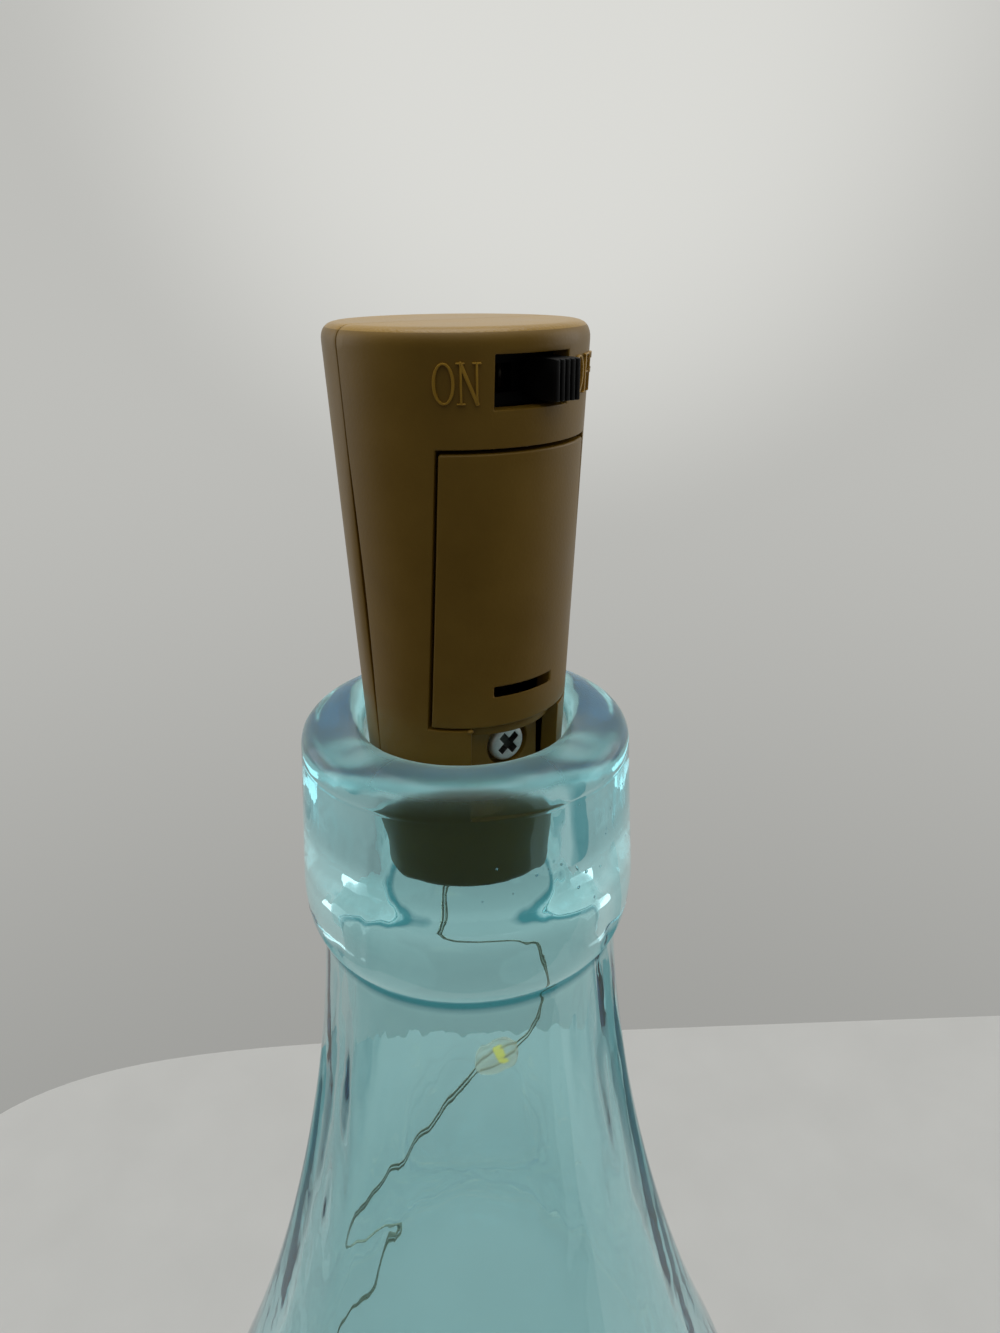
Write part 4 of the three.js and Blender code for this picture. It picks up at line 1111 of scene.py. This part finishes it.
def glass_seeds():
    """Small bubbles in the collar's glass, as hollows whose faces look into the air in them."""
    seeds = []
    for i in range(34):
        turn = math.radians(-118 + 5.3 * i + 6 * noise.noise(Vector((i * 3.7, 0.5, 0))))
        height = 229.5 + 7.5 * noise.noise(Vector((i * 2.3, 9.1, 0.4)))
        reach = BORE + 3.2 + 2.4 * noise.noise(Vector((i * 5.1, 3.3, 1.7)))
        size = 0.07 + 0.13 * abs(noise.noise(Vector((i * 1.9, 7.7, 2.2))))
        put_down()
        bpy.ops.mesh.primitive_ico_sphere_add(subdivisions=2, radius=size * MM)
        seed = bpy.context.object
        seed.scale = (1, 1, 1.3)
        seed.location = Vector((reach * math.cos(turn), reach * math.sin(turn), height)) * MM
        open_up(settle(seed))
        bpy.ops.mesh.flip_normals()
        bpy.ops.object.mode_set(mode="OBJECT")
        seeds.append(seed)
    return seeds


def glass_bottle():
    """The bottle, with how wavy and how dull its glass is at each point, and the painted shade that
    darkens its colour at the crease.
    """
    bottle = turned("bottle_glass", glass_outline(), 192)
    make_wavy(bottle)
    waviness = bottle.data.attributes.new("waviness", "FLOAT", "POINT")
    dullness = bottle.data.attributes.new("dullness", "FLOAT", "POINT")
    painted_crease_shade = bottle.data.attributes.new("painted_crease_shade", "FLOAT", "POINT")
    for i, vertex in enumerate(bottle.data.vertices):
        x, y, z = vertex.co / MM
        outward = Vector((x, y, 0))
        reach = outward.length
        if vertex.normal.dot(outward) < -0.3 * reach:
            waviness.data[i].value = 0.35 if z < 222 else 0.1
        else:
            waviness.data[i].value = 0.02
            # Painted shade at the crease, on the outside of the glass.
            painted_crease_shade.data[i].value = within(1.8 * (1 - abs(z - CREASE) / 0.9))
        outside = reach > BORE + 3.05
        above = z - COLLAR_EDGE
        worn = within((above - 0.6) / 1.4 if outside else above / 0.4)
        front = max(0.0, -AWAY.dot(outward)) / max(1.0, reach)
        dullness.data[i].value = worn * (0.45 + 0.55 * front)
    parts = [smooth(part, 60) for part in (bottle, *glass_seeds())]
    return dress(gather("bottle_glass", parts), GLASS)


fit(glass_bottle(), "bottle", "glass", "glass_bottle")


# Floor, backdrop and light

GLOW = (0.612, 0.767, 0.195)
ROOM_FRONT = 0.09
ROOM_TOP = 0.75
LAMP_AIM = (0, 0, 0.25)
LAMP_SIZE = 0.5
TOP_POWER = 1.6
SIDE_POWER = 0.85
TABLE_MIDDLE = (100, 45)
TABLE_HALF = (290, 160)
TABLE_ROUND = 0.36
# Painted shadow of the glass on the floor: where it lies, and its teal colour.
PAINTED_SHADOW_ACROSS = (0.062, 0.12)
PAINTED_SHADOW_AWAY = (0.08, 0.15)
PAINTED_SHADOW_TINT = (0.22, 0.47, 0.51)


def stage_floor():
    """A pale table whose far corners, beside and behind the bottle, carry a painted teal shadow of the
    glass that shows through the glass but not to the camera.
    """
    put_down()
    bpy.ops.mesh.primitive_circle_add(vertices=96, radius=1, fill_type="NGON")
    floor = bpy.context.object
    floor.name = "floor"
    for vertex in floor.data.vertices:
        angle = math.atan2(vertex.co.y, vertex.co.x)
        parts = (math.cos(angle), math.sin(angle))
        across, away = (middle + math.copysign(abs(part) ** TABLE_ROUND, part) * half
                        for part, middle, half in zip(parts, TABLE_MIDDLE, TABLE_HALF))
        vertex.co = (ACROSS * across + AWAY * away) * MM
    material, tree, shader, node, place = finish("floor_paper")
    cloud = grain(node, place, 40, 4)
    paper = tints(node, cloud, (0.555, 0.555, 0.547), (0.58, 0.58, 0.572))
    reaches = []
    for axis in (ACROSS, AWAY):
        reach = node("ShaderNodeVectorMath", {0: place}, operation="DOT_PRODUCT")
        reach.inputs[1].default_value = axis
        reaches.append(reach.outputs["Value"])
    # Painted shadow: the floor beside and behind the bottle is tinted teal for rays that are not from
    # the camera.
    aside = node("ShaderNodeMath", {0: reaches[0]}, operation="ABSOLUTE").outputs["Value"]
    beside = spread(node, aside, 0, 1, *PAINTED_SHADOW_ACROSS)
    behind = spread(node, reaches[1], 0, 1, *PAINTED_SHADOW_AWAY)
    painted_shadow = node("ShaderNodeMath", {0: beside, 1: behind}, operation="MULTIPLY")
    seen = node("ShaderNodeLightPath").outputs["Is Camera Ray"]
    share = node("ShaderNodeMapRange", {"Value": seen, "To Min": painted_shadow.outputs["Value"]})
    preset(share, {"To Max": 0.0})
    cast = tints(node, share.outputs["Result"], (1, 1, 1), PAINTED_SHADOW_TINT, 0, 1)
    shade = node("ShaderNodeVectorMath", {0: paper, 1: cast}, operation="MULTIPLY")
    tree.links.new(shade.outputs["Vector"], shader.inputs["Base Color"])
    preset(shader, {"Roughness": 0.7})
    dress(floor, material)


def backdrop():
    """A pale room that is darkest on the camera's side; the camera sees its pale side all round."""
    world = bpy.data.worlds.new("backdrop")
    bpy.context.scene.world = world
    world.use_nodes = True
    tree = world.node_tree
    shade = tree.nodes["Background"]

    def node(kind, *sources, **settings):
        made = tree.nodes.new(kind)
        for key, value in settings.items():
            setattr(made, key, value)
        for socket, source in zip(made.inputs, sources):
            if isinstance(source, bpy.types.NodeSocket):
                tree.links.new(source, socket)
            else:
                socket.default_value = source
        return made.outputs

    def towards(axis):
        return node("ShaderNodeVectorMath", direction, tuple(axis), operation="DOT_PRODUCT")["Value"]

    def ranged(source, start, end, low, high):
        return node("ShaderNodeMapRange", source, start, end, low, high,
                    interpolation_type="SMOOTHSTEP")["Result"]

    def mixed(share, low, high):
        return node("ShaderNodeMapRange", share, 0.0, 1.0, low, high)["Result"]

    def summed(*parts):
        return node("ShaderNodeMath", *parts, operation="ADD")["Value"]

    direction = node("ShaderNodeTexCoord")["Generated"]
    height = towards((0, 0, 1))
    glow = ranged(towards(GLOW), 0.89, 1.0, 0.0, 0.19)
    pale = summed(ranged(height, -0.95, -0.05, 0.31, 0.515), glow)
    sides = mixed(ranged(towards(AWAY), -0.42, 0.36, 0.0, 1.0), ROOM_FRONT, pale)
    room = mixed(ranged(height, 0.35, 0.9, 0.0, 1.0), sides, ROOM_TOP)
    level = mixed(node("ShaderNodeLightPath")["Is Camera Ray"], room, pale)
    warm = node("ShaderNodeMath", level, 0.955, operation="MULTIPLY")["Value"]
    colour = node("ShaderNodeCombineColor", level, level, warm)
    tree.links.new(colour["Color"], shade.inputs["Color"])


def lamp(name, place, power):
    """A square soft light that looks at the stopper."""
    data = bpy.data.lights.new(name, "AREA")
    data.size = LAMP_SIZE
    data.energy = power
    lamp_object = bpy.data.objects.new(name, data)
    bpy.context.scene.collection.objects.link(lamp_object)
    lamp_object.location = place
    direction = Vector(LAMP_AIM) - place
    lamp_object.rotation_euler = direction.to_track_quat("-Z", "Y").to_euler()


stage_floor()
backdrop()
lamp("top_softbox", AWAY * 0.15 + UPWARD * 0.95, TOP_POWER)
for lamp_name, aside in (("left_softbox", -0.7), ("right_softbox", 0.7)):
    lamp(lamp_name, ACROSS * aside + AWAY * 0.25 + UPWARD * 0.45, SIDE_POWER)

scene = bpy.context.scene
scene.view_settings.view_transform = "Standard"
scene.cycles.max_bounces = 64
scene.cycles.glossy_bounces = 60
scene.cycles.transmission_bounces = 64
